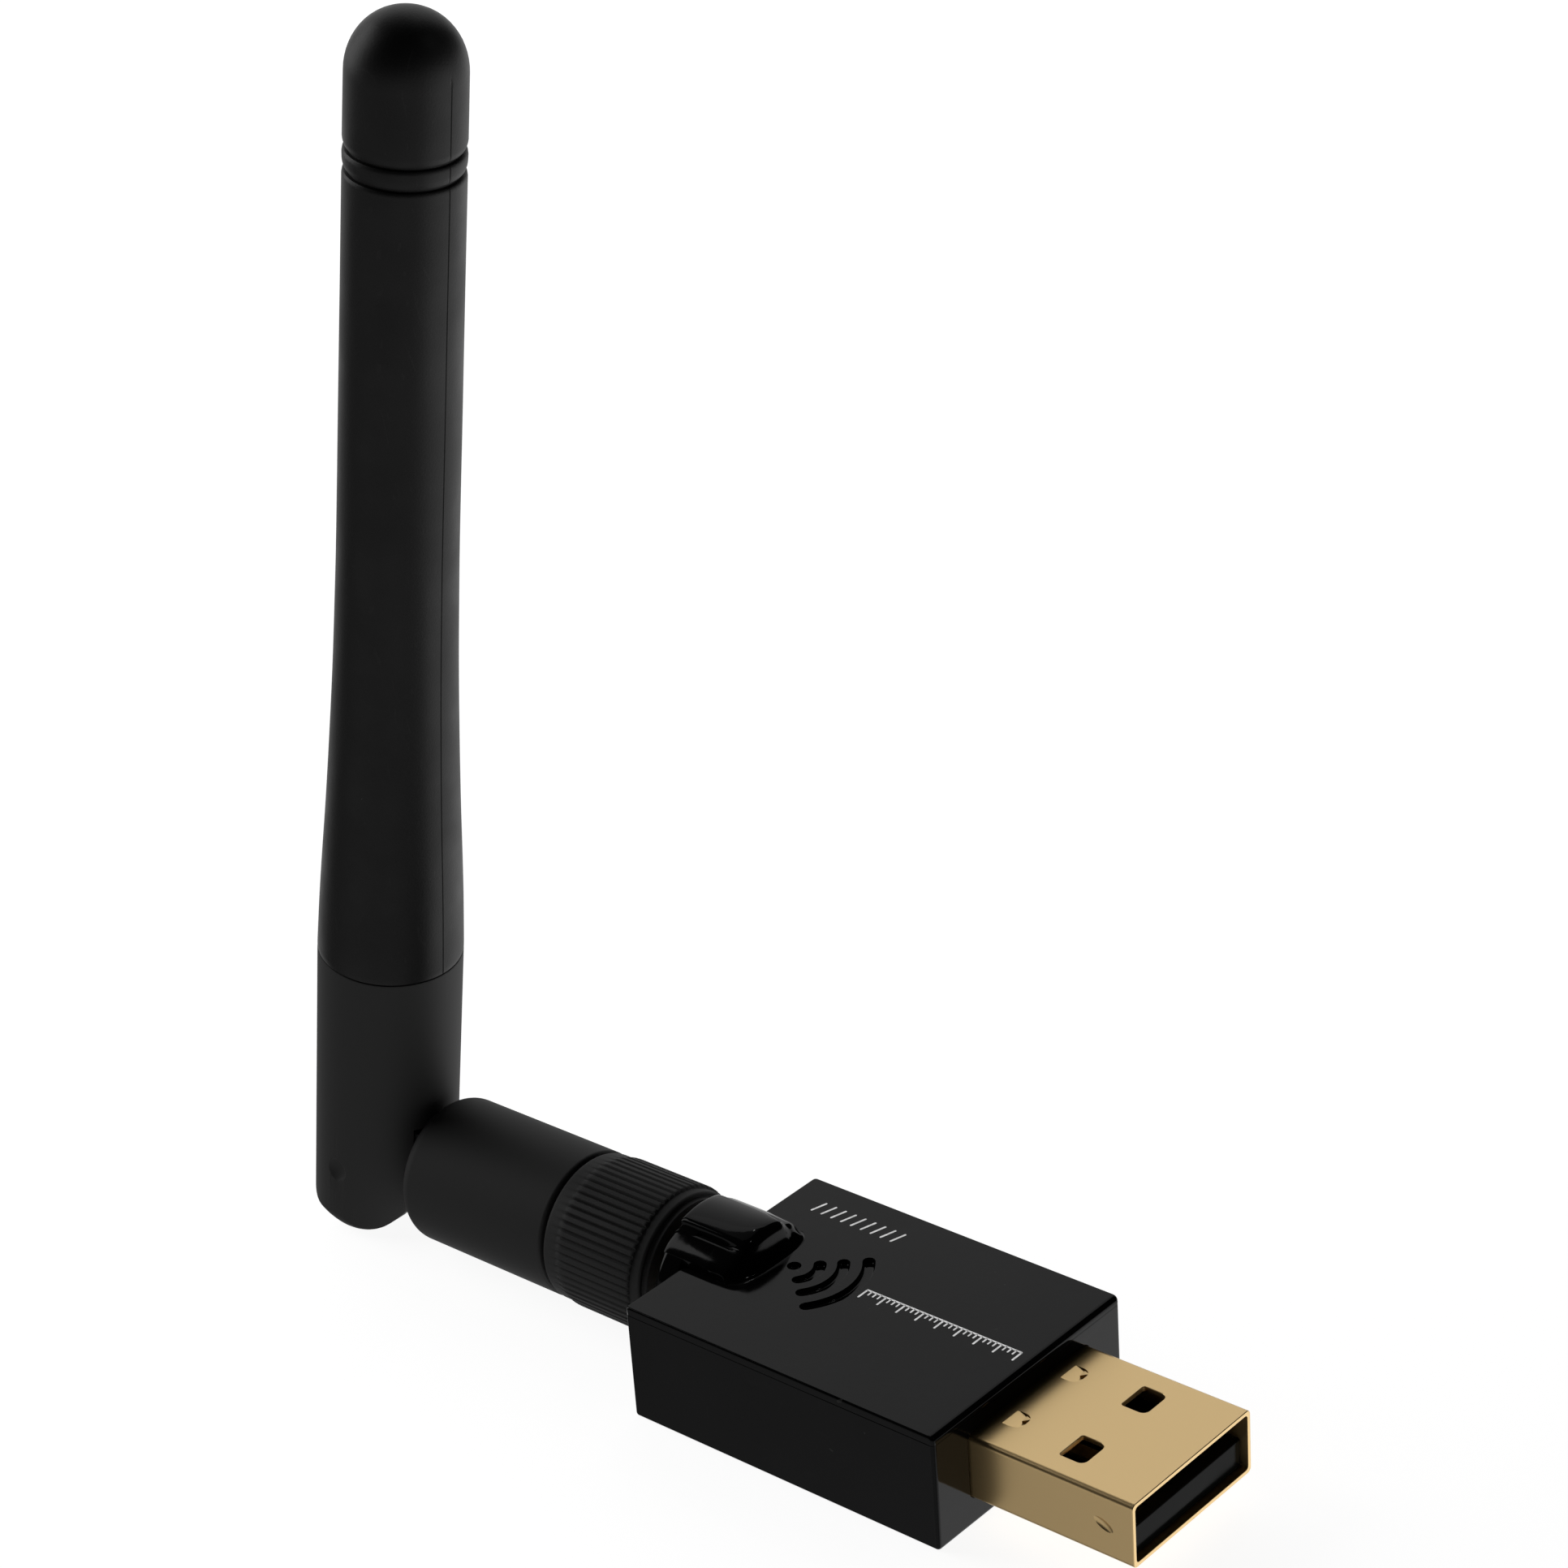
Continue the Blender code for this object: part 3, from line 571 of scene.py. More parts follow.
# ---- Nodes --------------------------------------------------------------------------------------
class Wiring:
    """Small helper for building a node tree."""

    def __init__(self, tree: bpy.types.NodeTree) -> None:
        """Keep the tree that nodes are added to."""
        self.tree = tree

    def add(self, kind: str, settings: dict | None = None, **values: object) -> bpy.types.Node:
        """Add a node.

        Args:
            kind: Node type without its ShaderNode prefix, or a full name.
            settings: Properties of the node.
            values: Default values or source sockets, by input name with _ for a space.

        Returns:
            The node.
        """
        full = kind if kind.startswith(("Node", "Shader")) else "ShaderNode" + kind
        node = self.tree.nodes.new(full)
        for key, value in (settings or {}).items():
            setattr(node, key, value)
        for key, value in values.items():
            self.feed(node.inputs[key.replace("_", " ")], value)
        return node

    def feed(self, socket: bpy.types.NodeSocket, value: object) -> None:
        """Link a source socket, or set a plain value."""
        if isinstance(value, bpy.types.NodeSocket):
            self.tree.links.new(value, socket)
        else:
            socket.default_value = value

    def math(self, operation: str, first: object, second: object = 0.0, clamp: bool = False) -> object:
        """A Math node.

        Args:
            operation: The operation's name.
            first: First value or socket.
            second: Second value or socket.
            clamp: True to keep the result between 0 and 1.

        Returns:
            Its output socket.
        """
        node = self.tree.nodes.new("ShaderNodeMath")
        node.operation = operation
        node.use_clamp = clamp
        self.feed(node.inputs[0], first)
        self.feed(node.inputs[1], second)
        return node.outputs[0]

    def ramp(self, value: object, low: float, high: float, to_low: float = 0.0,
             to_high: float = 1.0) -> object:
        """A smooth step from one value to another.

        Args:
            value: Source socket.
            low: Where the step starts.
            high: Where it ends.
            to_low: Result before the start.
            to_high: Result after the end.

        Returns:
            Its output socket.
        """
        node = self.tree.nodes.new("ShaderNodeMapRange")
        node.interpolation_type = "SMOOTHSTEP"
        self.feed(node.inputs["Value"], value)
        node.inputs["From Min"].default_value = low
        node.inputs["From Max"].default_value = high
        node.inputs["To Min"].default_value = to_low
        node.inputs["To Max"].default_value = to_high
        return node.outputs["Result"]

    def noise(self, vector: object, scale: float, detail: float) -> object:
        """A noise texture's value on given coordinates.

        Args:
            vector: Coordinates socket.
            scale: Features per metre.
            detail: Octaves.

        Returns:
            Its factor socket.
        """
        node = self.add("TexNoise", Vector=vector, Scale=scale, Detail=detail, Roughness=0.5)
        return node.outputs["Fac"]

    def mix(self, share: object, first: object, second: object) -> object:
        """Mix two colours.

        Args:
            share: Share of the second one.
            first: First colour or socket.
            second: Second colour or socket.

        Returns:
            The mixed colour's socket.
        """
        node = self.tree.nodes.new("ShaderNodeMix")
        node.data_type = "RGBA"
        self.feed(node.inputs[0], share)
        self.feed(node.inputs[6], first)
        self.feed(node.inputs[7], second)
        return node.outputs[2]


class EffectGroup:
    """A shader node group that several materials share, built once."""

    label = "effect"

    def group(self) -> bpy.types.NodeTree:
        """The group, made on first use.

        Returns:
            The node tree.
        """
        tree = bpy.data.node_groups.get(self.label)
        if tree is None:
            tree = bpy.data.node_groups.new(self.label, "ShaderNodeTree")
            self.build(tree)
        return tree

    def build(self, tree: bpy.types.NodeTree) -> None:
        """Fill the tree; each effect has its own way."""
        raise NotImplementedError

    @staticmethod
    def sockets(tree: bpy.types.NodeTree, inputs: dict[str, float], outputs: Iterable[str]) -> None:
        """Make the group's sockets.

        Args:
            tree: The group.
            inputs: Default value of each input.
            outputs: Names of the outputs.
        """
        for label, value in inputs.items():
            socket = tree.interface.new_socket(name=label, in_out="INPUT", socket_type="NodeSocketFloat")
            socket.default_value = value
        for label in outputs:
            tree.interface.new_socket(name=label, in_out="OUTPUT", socket_type="NodeSocketFloat")


class MouldedGrain(EffectGroup):
    """Fine eroded texture of a mould: a height and a gentle change of gloss."""

    label = "moulded_grain"

    def build(self, tree: bpy.types.NodeTree) -> None:
        """Fine and coarse noise on the piece's own coordinates."""
        self.sockets(tree, {"Grain": 9000.0, "Cloud": 250.0}, ("Height", "Gloss"))
        wires = Wiring(tree)
        given = tree.nodes.new("NodeGroupInput")
        result = tree.nodes.new("NodeGroupOutput")
        place = wires.add("TexCoord").outputs["Object"]
        fine = wires.add("TexNoise", Vector=place, Scale=given.outputs["Grain"], Detail=2.0, Roughness=0.6)
        cloud = wires.add("TexNoise", Vector=place, Scale=given.outputs["Cloud"], Detail=4.0, Roughness=0.55)
        wires.feed(result.inputs["Height"], fine.outputs["Fac"])
        wires.feed(result.inputs["Gloss"], cloud.outputs["Fac"])


class Dust(EffectGroup):
    """Scattered pale specks and short fibres."""

    label = "dust"

    def build(self, tree: bpy.types.NodeTree) -> None:
        """Sparse cells thinned out by a coarse noise."""
        self.sockets(tree, {"Scale": 700.0, "Size": 0.10, "Sparse": 0.62}, ("Mask",))
        wires = Wiring(tree)
        given = tree.nodes.new("NodeGroupInput")
        result = tree.nodes.new("NodeGroupOutput")
        place = wires.add("TexCoord").outputs["Object"]
        warp = wires.add("TexNoise", Vector=place, Scale=1800.0, Detail=2.0)
        bent = wires.add("VectorMath", {"operation": "MULTIPLY_ADD"})
        wires.feed(bent.inputs[0], warp.outputs["Color"])
        bent.inputs[1].default_value = (0.0006, 0.0006, 0.0006)
        wires.feed(bent.inputs[2], place)
        cells = wires.add("TexVoronoi", Vector=bent.outputs["Vector"], Scale=given.outputs["Scale"])
        speck = wires.math("LESS_THAN", cells.outputs["Distance"], given.outputs["Size"])
        where = wires.add("TexNoise", Vector=place, Scale=420.0, Detail=3.0)
        thin = wires.math("GREATER_THAN", where.outputs["Fac"], given.outputs["Sparse"])
        wires.feed(result.inputs["Mask"], wires.math("MULTIPLY", speck, thin))


class Scuffs(EffectGroup):
    """Faint hairline scratches in two directions."""

    label = "scuffs"

    def build(self, tree: bpy.types.NodeTree) -> None:
        """Stretched noise, kept only at its crests."""
        self.sockets(tree, {"Fineness": 1.0}, ("Mask",))
        wires = Wiring(tree)
        given = tree.nodes.new("NodeGroupInput")
        result = tree.nodes.new("NodeGroupOutput")
        place = wires.add("TexCoord").outputs["Object"]
        total = None
        for turn, stretch in ((0.5, (6000.0, 260.0, 260.0)), (-0.8, (240.0, 5200.0, 900.0))):
            mapping = wires.add("Mapping", Vector=place, Rotation=(0.3, turn, turn * 2), Scale=stretch)
            lines = wires.add("TexNoise", Vector=mapping.outputs["Vector"], Scale=given.outputs["Fineness"],
                              Detail=1.0)
            crest = wires.ramp(lines.outputs["Fac"], 0.70, 0.76)
            total = crest if total is None else wires.math("MAXIMUM", total, crest)
        wires.feed(result.inputs["Mask"], total)


@dataclass(frozen=True)
class Finish:
    """Base of every finish: a Principled material whose look its own method wires."""

    name: str
    colour: Colour
    roughness: float
    metallic: float = 0.0
    specular: float = 0.5

    def make(self) -> bpy.types.Material:
        """The material, made on first use.

        Returns:
            The material.
        """
        made = bpy.data.materials.get(self.name)
        if made is not None:
            return made
        made = bpy.data.materials.new(self.name)
        made.use_nodes = True
        made.diffuse_color = (*self.colour, 1.0)
        shader = made.node_tree.nodes["Principled BSDF"]
        shader.inputs["Metallic"].default_value = self.metallic
        shader.inputs["Specular IOR Level"].default_value = self.specular
        self.wire(Wiring(made.node_tree), shader)
        return made

    def wire(self, wires: Wiring, shader: bpy.types.Node) -> None:
        """Wire the look; each finish has its own way."""
        raise NotImplementedError

    @staticmethod
    def use(wires: Wiring, effect: EffectGroup, **values: object) -> bpy.types.Node:
        """Place a shared effect in a material.

        Args:
            wires: The material's wiring.
            effect: The effect.
            values: Values of its inputs.

        Returns:
            The group node.
        """
        node = wires.tree.nodes.new("ShaderNodeGroup")
        node.node_tree = effect.group()
        for key, value in values.items():
            wires.feed(node.inputs[key], value)
        return node

    @staticmethod
    def bump(wires: Wiring, shader: bpy.types.Node, height: object, strength: float, reach: float) -> None:
        """Feed a height to the shader's normal.

        Args:
            wires: The material's wiring.
            shader: The Principled node.
            height: Source socket.
            strength: Strength of the bump.
            reach: Height of a full step in metres.
        """
        node = wires.add("Bump", Strength=strength, Distance=reach, Height=height)
        wires.feed(shader.inputs["Normal"], node.outputs["Normal"])


@dataclass(frozen=True)
class GlossPlastic(Finish):
    """Polished moulded plastic: faint waviness, smudges, dust and hairline scuffs."""

    dust: float = 0.10
    wave: float = 0.06

    def wire(self, wires: Wiring, shader: bpy.types.Node) -> None:
        """Smudges change the gloss, specks and scuffs lighten the colour a little."""
        place = wires.add("TexCoord").outputs["Object"]
        grain = self.use(wires, MouldedGrain(), Grain=2200.0, Cloud=180.0)
        dust = self.use(wires, Dust())
        scuffs = self.use(wires, Scuffs())
        specks = wires.math("MULTIPLY", dust.outputs["Mask"], self.dust)
        hair = wires.math("MULTIPLY", scuffs.outputs["Mask"], 0.004)
        light = wires.math("ADD", specks, hair)
        tone = wires.mix(wires.ramp(grain.outputs["Gloss"], 0.35, 0.7),
                         (*[part * 0.85 for part in self.colour], 1.0),
                         (*[part * 1.2 for part in self.colour], 1.0))
        colour = wires.mix(light, tone, (0.45, 0.44, 0.42, 1.0))
        wires.feed(shader.inputs["Base Color"], colour)
        smudge = wires.ramp(wires.noise(place, 320.0, 4.0), 0.4, 0.75, self.roughness * 0.85,
                            self.roughness * 1.5)
        rough = wires.math("ADD", smudge, wires.math("MULTIPLY", light, 2.0), clamp=True)
        wires.feed(shader.inputs["Roughness"], rough)
        self.bump(wires, shader, wires.noise(place, 900.0, 2.0), self.wave, 0.00006)


@dataclass(frozen=True)
class SatinPlastic(Finish):
    """Fine-textured moulded plastic or rubber with a soft sheen."""

    grain: float = 9000.0
    depth: float = 0.35
    dust: float = 0.08

    def wire(self, wires: Wiring, shader: bpy.types.Node) -> None:
        """Grain in the normal, clouds in gloss and tone, and a few specks and scuffs."""
        grain = self.use(wires, MouldedGrain(), Grain=self.grain, Cloud=220.0)
        dust = self.use(wires, Dust(), Scale=520.0, Size=0.075, Sparse=0.66)
        scuffs = self.use(wires, Scuffs())
        tone = wires.mix(wires.ramp(grain.outputs["Gloss"], 0.3, 0.72),
                         (*[part * 0.82 for part in self.colour], 1.0),
                         (*[part * 1.22 for part in self.colour], 1.0))
        light = wires.math("ADD", wires.math("MULTIPLY", dust.outputs["Mask"], self.dust),
                           wires.math("MULTIPLY", scuffs.outputs["Mask"], 0.008))
        wires.feed(shader.inputs["Base Color"], wires.mix(light, tone, (0.5, 0.5, 0.49, 1.0)))
        rough = wires.ramp(grain.outputs["Gloss"], 0.3, 0.75, self.roughness * 1.12,
                           self.roughness * 0.88)
        wires.feed(shader.inputs["Roughness"], rough)
        self.bump(wires, shader, grain.outputs["Height"], self.depth, 0.00002)


@dataclass(frozen=True)
class PlatedMetal(Finish):
    """Plated sheet or turned metal: satin, faintly brushed, with handling marks."""

    brushed: Point3 = (300.0, 300.0, 7000.0)
    tarnish: Colour = (0.36, 0.22, 0.08)
    marks: float = 0.25

    def wire(self, wires: Wiring, shader: bpy.types.Node) -> None:
        """Brush lines in gloss and normal, and slight tarnish in clouds."""
        place = wires.add("TexCoord").outputs["Object"]
        mapping = wires.add("Mapping", Vector=place, Scale=self.brushed)
        brush = wires.add("TexNoise", Vector=mapping.outputs["Vector"], Scale=1.0, Detail=4.0, Roughness=0.6)
        cloud = wires.noise(place, 160.0, 4.0)
        stain = wires.math("MULTIPLY", wires.ramp(cloud, 0.52, 0.8), self.marks)
        scuffs = self.use(wires, Scuffs())
        wires.feed(shader.inputs["Base Color"],
                   wires.mix(stain, (*self.colour, 1.0), (*self.tarnish, 1.0)))
        rough = wires.ramp(brush.outputs["Fac"], 0.3, 0.7, self.roughness * 0.85, self.roughness * 1.15)
        rough = wires.math("ADD", rough, wires.math("MULTIPLY", scuffs.outputs["Mask"], 0.12), clamp=True)
        wires.feed(shader.inputs["Roughness"], rough)
        self.bump(wires, shader, brush.outputs["Fac"], 0.10, 0.00001)


@dataclass(frozen=True)
class PrintedInk(Finish):
    """Thin pad-printed ink, a little uneven."""

    def wire(self, wires: Wiring, shader: bpy.types.Node) -> None:
        """Uneven cover shows in the tone and the gloss."""
        grain = self.use(wires, MouldedGrain(), Grain=12000.0, Cloud=2500.0)
        tone = wires.mix(wires.ramp(grain.outputs["Gloss"], 0.3, 0.7),
                         (*[part * 0.72 for part in self.colour], 1.0), (*self.colour, 1.0))
        wires.feed(shader.inputs["Base Color"], tone)
        wires.feed(shader.inputs["Roughness"],
                   wires.ramp(grain.outputs["Height"], 0.3, 0.7, self.roughness * 0.9,
                              self.roughness * 1.1))


class Finishes:
    """The finishes of this object, one for each kind of surface."""

    HOUSING = GlossPlastic("gloss_black", (0.004, 0.004, 0.0042), 0.08, specular=0.13, dust=0.05)
    SATIN = SatinPlastic("satin_black", (0.0042, 0.0042, 0.0044), 0.34, specular=0.17)
    SHEATH = SatinPlastic("sheath_black", (0.006, 0.006, 0.0061), 0.42, specular=0.22, grain=7000.0,
                          depth=0.45)
    GOLD = PlatedMetal("plug_gold", (1.0, 0.84, 0.525), 0.23, metallic=1.0, brushed=(400.0, 6000.0, 400.0))
    CONTACT = PlatedMetal("contact_gold", (0.83, 0.62, 0.28), 0.22, metallic=1.0)
    TONGUE = GlossPlastic("tongue_black", (0.004, 0.0045, 0.004), 0.16, specular=0.03, dust=0.02)
    INK = PrintedInk("print_silver", (0.86, 0.86, 0.86), 0.3, metallic=1.0)
    JACK_GOLD = PlatedMetal("jack_gold", (0.80, 0.60, 0.30), 0.25, metallic=1.0)
    BRASS = PlatedMetal("brass", (0.72, 0.52, 0.25), 0.30, metallic=1.0)
    STEEL = PlatedMetal("spring_steel", (0.60, 0.60, 0.62), 0.30, metallic=1.0, tarnish=(0.3, 0.28, 0.25))
    CAN = PlatedMetal("can_nickel", (0.70, 0.70, 0.69), 0.28, metallic=1.0, tarnish=(0.4, 0.38, 0.33))
    BOARD = GlossPlastic("board_green", (0.02, 0.12, 0.06), 0.35, dust=0.05)
    CHIP = SatinPlastic("chip_black", (0.03, 0.03, 0.03), 0.5)
    CERAMIC = SatinPlastic("ceramic_tan", (0.45, 0.33, 0.20), 0.5, depth=0.15)
    WHITE = SatinPlastic("white_insulator", (0.80, 0.80, 0.78), 0.42, depth=0.1, dust=0.0)
    CABLE = SatinPlastic("cable_brown", (0.25, 0.12, 0.05), 0.35, depth=0.1)


def dress(obj: bpy.types.Object, finish: Finish) -> bpy.types.Object:
    """Give a piece one finish.

    Args:
        obj: The piece.
        finish: The finish.

    Returns:
        The piece.
    """
    obj.data.materials.clear()
    obj.data.materials.append(finish.make())
    return obj


def place(obj: bpy.types.Object, body: Body, slot: Slot, stands_for: Sequence[str] = ()) -> None:
    """Ride a finished piece on its body.

    Args:
        obj: The piece.
        body: The body that it moves with.
        slot: The record's material slot; not used.
        stands_for: Nodes of the frame that it replaces.
    """
    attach(obj, body.value)
    if stands_for:
        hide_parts(*stands_for)
    LOG.info("%s: %d faces on %s", obj.name, len(obj.data.polygons), body.value)


# ---- Housing ------------------------------------------------------------------------------------
@dataclass
class Housing:
    """Glossy tub and lid, with the engraved signal mark, a printed scale and a row of ticks."""

    tub: Span = field(default_factory=lambda: Span.of_node("housing_base"))
    lid: Span = field(default_factory=lambda: Span.of_node("housing_top"))
    plug: Span = field(default_factory=lambda: Span.of_node("usb_shell"))
    corner: float = 0.3
    bottom_round: float = 0.5
    wall: float = 1.2
    floor: float = 1.0
    rim: float = 0.57
    seam_round: float = 0.06
    front_round: float = 0.45
    edge_round: float = 0.15
    notch_half: float = 3.72
    notch_front: float = -8.6
    plug_gap: float = 0.1
    axis_z: float = 5.2
    jack_hole: float = 3.45
    mark_centre: Point2 = (-6.55, 0.35)
    mark_radii: tuple[float, float, float] = (1.65, 3.15, 4.75)
    mark_width: float = 0.82
    mark_depth: float = 0.36
    mark_rim: float = 0.12
    mark_bed: float = 0.2
    mark_dot: float = 0.45
    mark_angle: float = 41.0
    print_sunk: float = 0.005
    print_thick: float = 0.02
    scale_pitch: float = 1.51
    minor_pitch: float = 0.3775
    tick_pitch: float = 0.82

    def build(self) -> None:
        """Tub, lid and prints."""
        place(dress(Bench.finish(self.make_tub(), 30), Finishes.HOUSING), Body.ADAPTER, Slot.HOUSING,
              ["housing_base"])
        place(dress(Bench.finish(self.make_lid(), 30), Finishes.HOUSING), Body.ADAPTER, Slot.HOUSING,
              ["housing_top"])
        for piece in self.make_prints():
            place(dress(Bench.finish(piece), Finishes.INK), Body.ADAPTER, Slot.HOUSING)

    def make_tub(self) -> bpy.types.Object:
        """Tub: a rounded block, hollowed from the top, with its two end openings.

        Returns:
            The piece.
        """
        low, high = self.tub.low, self.tub.high
        tub = Bench.block("housing_tub", low, high)
        Bench.faces(tub, lambda c, n: n.z > 0.9)
        Bench.inset(self.wall)
        Bench.extrude((0, 0, self.floor - high.z))
        Bench.edges(tub, lambda a, b: abs(a.z - b.z) > 1.0 and self.is_outer(a, high))
        Bench.bevel(self.corner, 8)
        Bench.edges(tub, lambda a, b: max(a.z, b.z) < low.z + 0.01)
        Bench.bevel(self.bottom_round, 5)
        Bench.clear()
        Bench.weighted_bevel(tub, self.seam_round, 2, lambda a, b: self.seam_share(a, b, high)
                             if min(a.z, b.z) > high.z - 0.01 else 0.0)
        Bench.boolean(tub, self.plug_cutter(), Cut.TAKE_AWAY)
        Bench.boolean(tub, self.jack_cutter(), Cut.TAKE_AWAY)
        front = high.x - 0.001
        Bench.edges(tub, lambda a, b: min(a.x, b.x) > front and abs(a.y + b.y) / 2 < 6.4
                    and max(a.z, b.z) < 6.9 and min(a.z, b.z) > 1.5)
        Bench.bevel(0.08, 2)
        Bench.clear()
        return tub

    def is_outer(self, co: Vector, high: Vector) -> bool:
        """True for a vertex on the outside of the walls."""
        return abs(co.x) > high.x - self.corner - 0.1 or abs(co.y) > high.y - self.corner - 0.1

    def seam_share(self, first: Vector, second: Vector, high: Vector) -> float:
        """Share of the seam's round for an edge: full at the rear, nearly none in front.

        Args:
            first: One end of the edge.
            second: Its other end.
            high: Highest corner of the housing.

        Returns:
            The share, zero for edges inside the walls.
        """
        if not (self.is_outer(first, high) and self.is_outer(second, high)):
            return 0.0
        middle = (first.x + second.x) / 2
        return 0.15 if middle > high.x - self.corner else 1.0

    def plug_cutter(self) -> bpy.types.Object:
        """Tool for the opening that the plug comes out of."""
        low, high = self.plug.low, self.plug.high
        size = (high.y - low.y + 2 * self.plug_gap, high.z - low.z + 2 * self.plug_gap)
        outline = round_box(((low.y + high.y) / 2, (low.z + high.z) / 2), size, (0.6,) * 4)
        return Bench.prism("tool_plug", outline, Axis.X, (self.tub.high.x - 3, self.tub.high.x + 1))

    def jack_cutter(self) -> bpy.types.Object:
        """Tool for the notch in the rear wall under the jack's cover."""
        reach, shelf, top = self.notch_half + 0.4, 6.45, self.tub.high.z + 1
        outline = [(reach, top), (-reach, top), (-reach, shelf), (-self.jack_hole, shelf)]
        outline += arc((0, self.axis_z), self.jack_hole, 180, 360, 24)
        outline += [(self.jack_hole, shelf), (reach, shelf)]
        return Bench.prism("tool_jack", outline, Axis.X, (self.tub.low.x - 1, self.tub.low.x + 2.2))

    def make_lid(self) -> bpy.types.Object:
        """Lid: a thin plate with a drop between the walls, softer at its front edge.

        Returns:
            The piece.
        """
        low, high = self.lid.low, self.lid.high
        rim_z = high.z - self.rim
        lid = Bench.block("housing_lid", (low.x, low.y, rim_z), high)
        Bench.faces(lid, lambda c, n: n.z < -0.9)
        Bench.inset(self.wall + 0.15)
        Bench.extrude((0, 0, low.z - rim_z))
        Bench.edges(lid, lambda a, b: abs(a.z - b.z) > self.rim / 2 and self.is_outer(a, high))
        Bench.bevel(self.corner, 8)
        Bench.clear()

        def share(first: Vector, second: Vector) -> float:
            """Share of the front edge's round for an edge of the lid's top."""
            if min(first.z, second.z) > high.z - 0.01:
                middle = (first.x + second.x) / 2
                blend = min(max((middle - (high.x - self.corner)) / self.corner, 0.0), 1.0)
                plain = self.edge_round / self.front_round
                return plain + (1 - plain) * blend
            return 0.0

        Bench.weighted_bevel(lid, self.front_round, 6, share)
        Bench.weighted_bevel(lid, self.seam_round, 2, lambda a, b: self.seam_share(a, b, high)
                             if max(abs(a.z - rim_z), abs(b.z - rim_z)) < 0.01 else 0.0)
        notch = Bench.block("tool_notch", (low.x - 1, -self.notch_half, low.z - 1),
                            (self.notch_front, self.notch_half, high.z + 1))
        Bench.boolean(lid, notch, Cut.TAKE_AWAY)
        Bench.edges(lid, lambda a, b: min(a.z, b.z) > high.z - 0.01
                    and max(a.x, b.x) < self.notch_front + 0.05
                    and abs(abs(a.y) - self.notch_half) < 0.02 and abs(abs(b.y) - self.notch_half) < 0.02)
        Bench.bevel(0.05, 2)
        Bench.clear()
        Bench.boolean(lid, self.mark_cutter(), Cut.TAKE_AWAY)
        reach = self.mark_radii[-1] + 1

        def on_mark(first: Vector, second: Vector) -> bool:
            """True for a short edge near the signal mark."""
            middle = (first + second) / 2
            near = math.hypot(middle.x - self.mark_centre[0], middle.y - self.mark_centre[1]) < reach
            short = (first - second).length < 0.9
            return near and short and middle.x > self.notch_front + 0.3

        Bench.edges(lid, lambda a, b: min(a.z, b.z) > high.z - 0.001 and on_mark(a, b))
        Bench.bevel(self.mark_rim, 4)
        Bench.edges(lid, lambda a, b: max(a.z, b.z) < high.z - self.mark_depth + 0.001
                    and min(a.z, b.z) > high.z - self.mark_depth - 0.001 and on_mark(a, b))
        Bench.bevel(self.mark_bed, 4)
        Bench.clear()
        return lid

    def mark_cutter(self) -> bpy.types.Object:
        """Tool for the signal mark: a dot and three arcs that spread towards the plug."""
        top = self.lid.high.z
        ends = (top - self.mark_depth, top + 1)
        tool = Bench.prism("tool_dot", arc(self.mark_centre, self.mark_dot, 0, 345, 23), Axis.Z, ends)
        half = self.mark_width / 2
        for radius in self.mark_radii:
            outline = arc(self.mark_centre, radius + half, -self.mark_angle, self.mark_angle, 16)
            for side in (1, -1):
                angle = math.radians(side * self.mark_angle)
                tip = (self.mark_centre[0] + radius * math.cos(angle),
                       self.mark_centre[1] + radius * math.sin(angle))
                start = side * self.mark_angle + (0 if side > 0 else -180)
                cap = arc(tip, half, start, start + 180, 6)
                if side > 0:
                    outline += cap[1:-1]
                    outline += arc(self.mark_centre, radius - half, self.mark_angle, -self.mark_angle, 16)
                else:
                    outline += cap[1:-1]
            arch = Bench.prism("tool_arc", outline, Axis.Z, ends)
            Bench.clear()
            arch.select_set(True)
            tool.select_set(True)
            bpy.context.view_layer.objects.active = tool
            bpy.ops.object.join()
        return tool

    def make_prints(self) -> list[bpy.types.Object]:
        """Plain print on the lid: a rule with long and short strokes, and a row of slanted ticks.

        Returns:
            The pieces.
        """
        low = self.lid.high.z - self.print_sunk
        ends = (low, low + self.print_thick)
        centre_y = self.mark_centre[1]
        rule = Bench.prism("print_rule", pill((5.1, centre_y + 0.5), 12.2, 0.14), Axis.Z, ends)
        mark = Bench.prism("print_scale", pill((-0.93, centre_y), 1.0, 0.14, 90), Axis.Z, ends)
        Bench.copies(mark, [(index * self.scale_pitch, 0, 0) for index in range(1, 9)])
        minor = Bench.prism("print_minor", pill((-0.56, centre_y + 0.26), 0.5, 0.12, 90), Axis.Z, ends)
        Bench.copies(minor, [(index * self.minor_pitch, 0, 0) for index in range(1, 31) if index % 4 != 3])
        tick = Bench.prism("print_ticks", pill((-9.7, 6.6), 1.3, 0.16, 74), Axis.Z, ends)
        Bench.copies(tick, [(index * self.tick_pitch, 0, 0) for index in range(1, 9)])
        return [rule, mark, minor, tick]


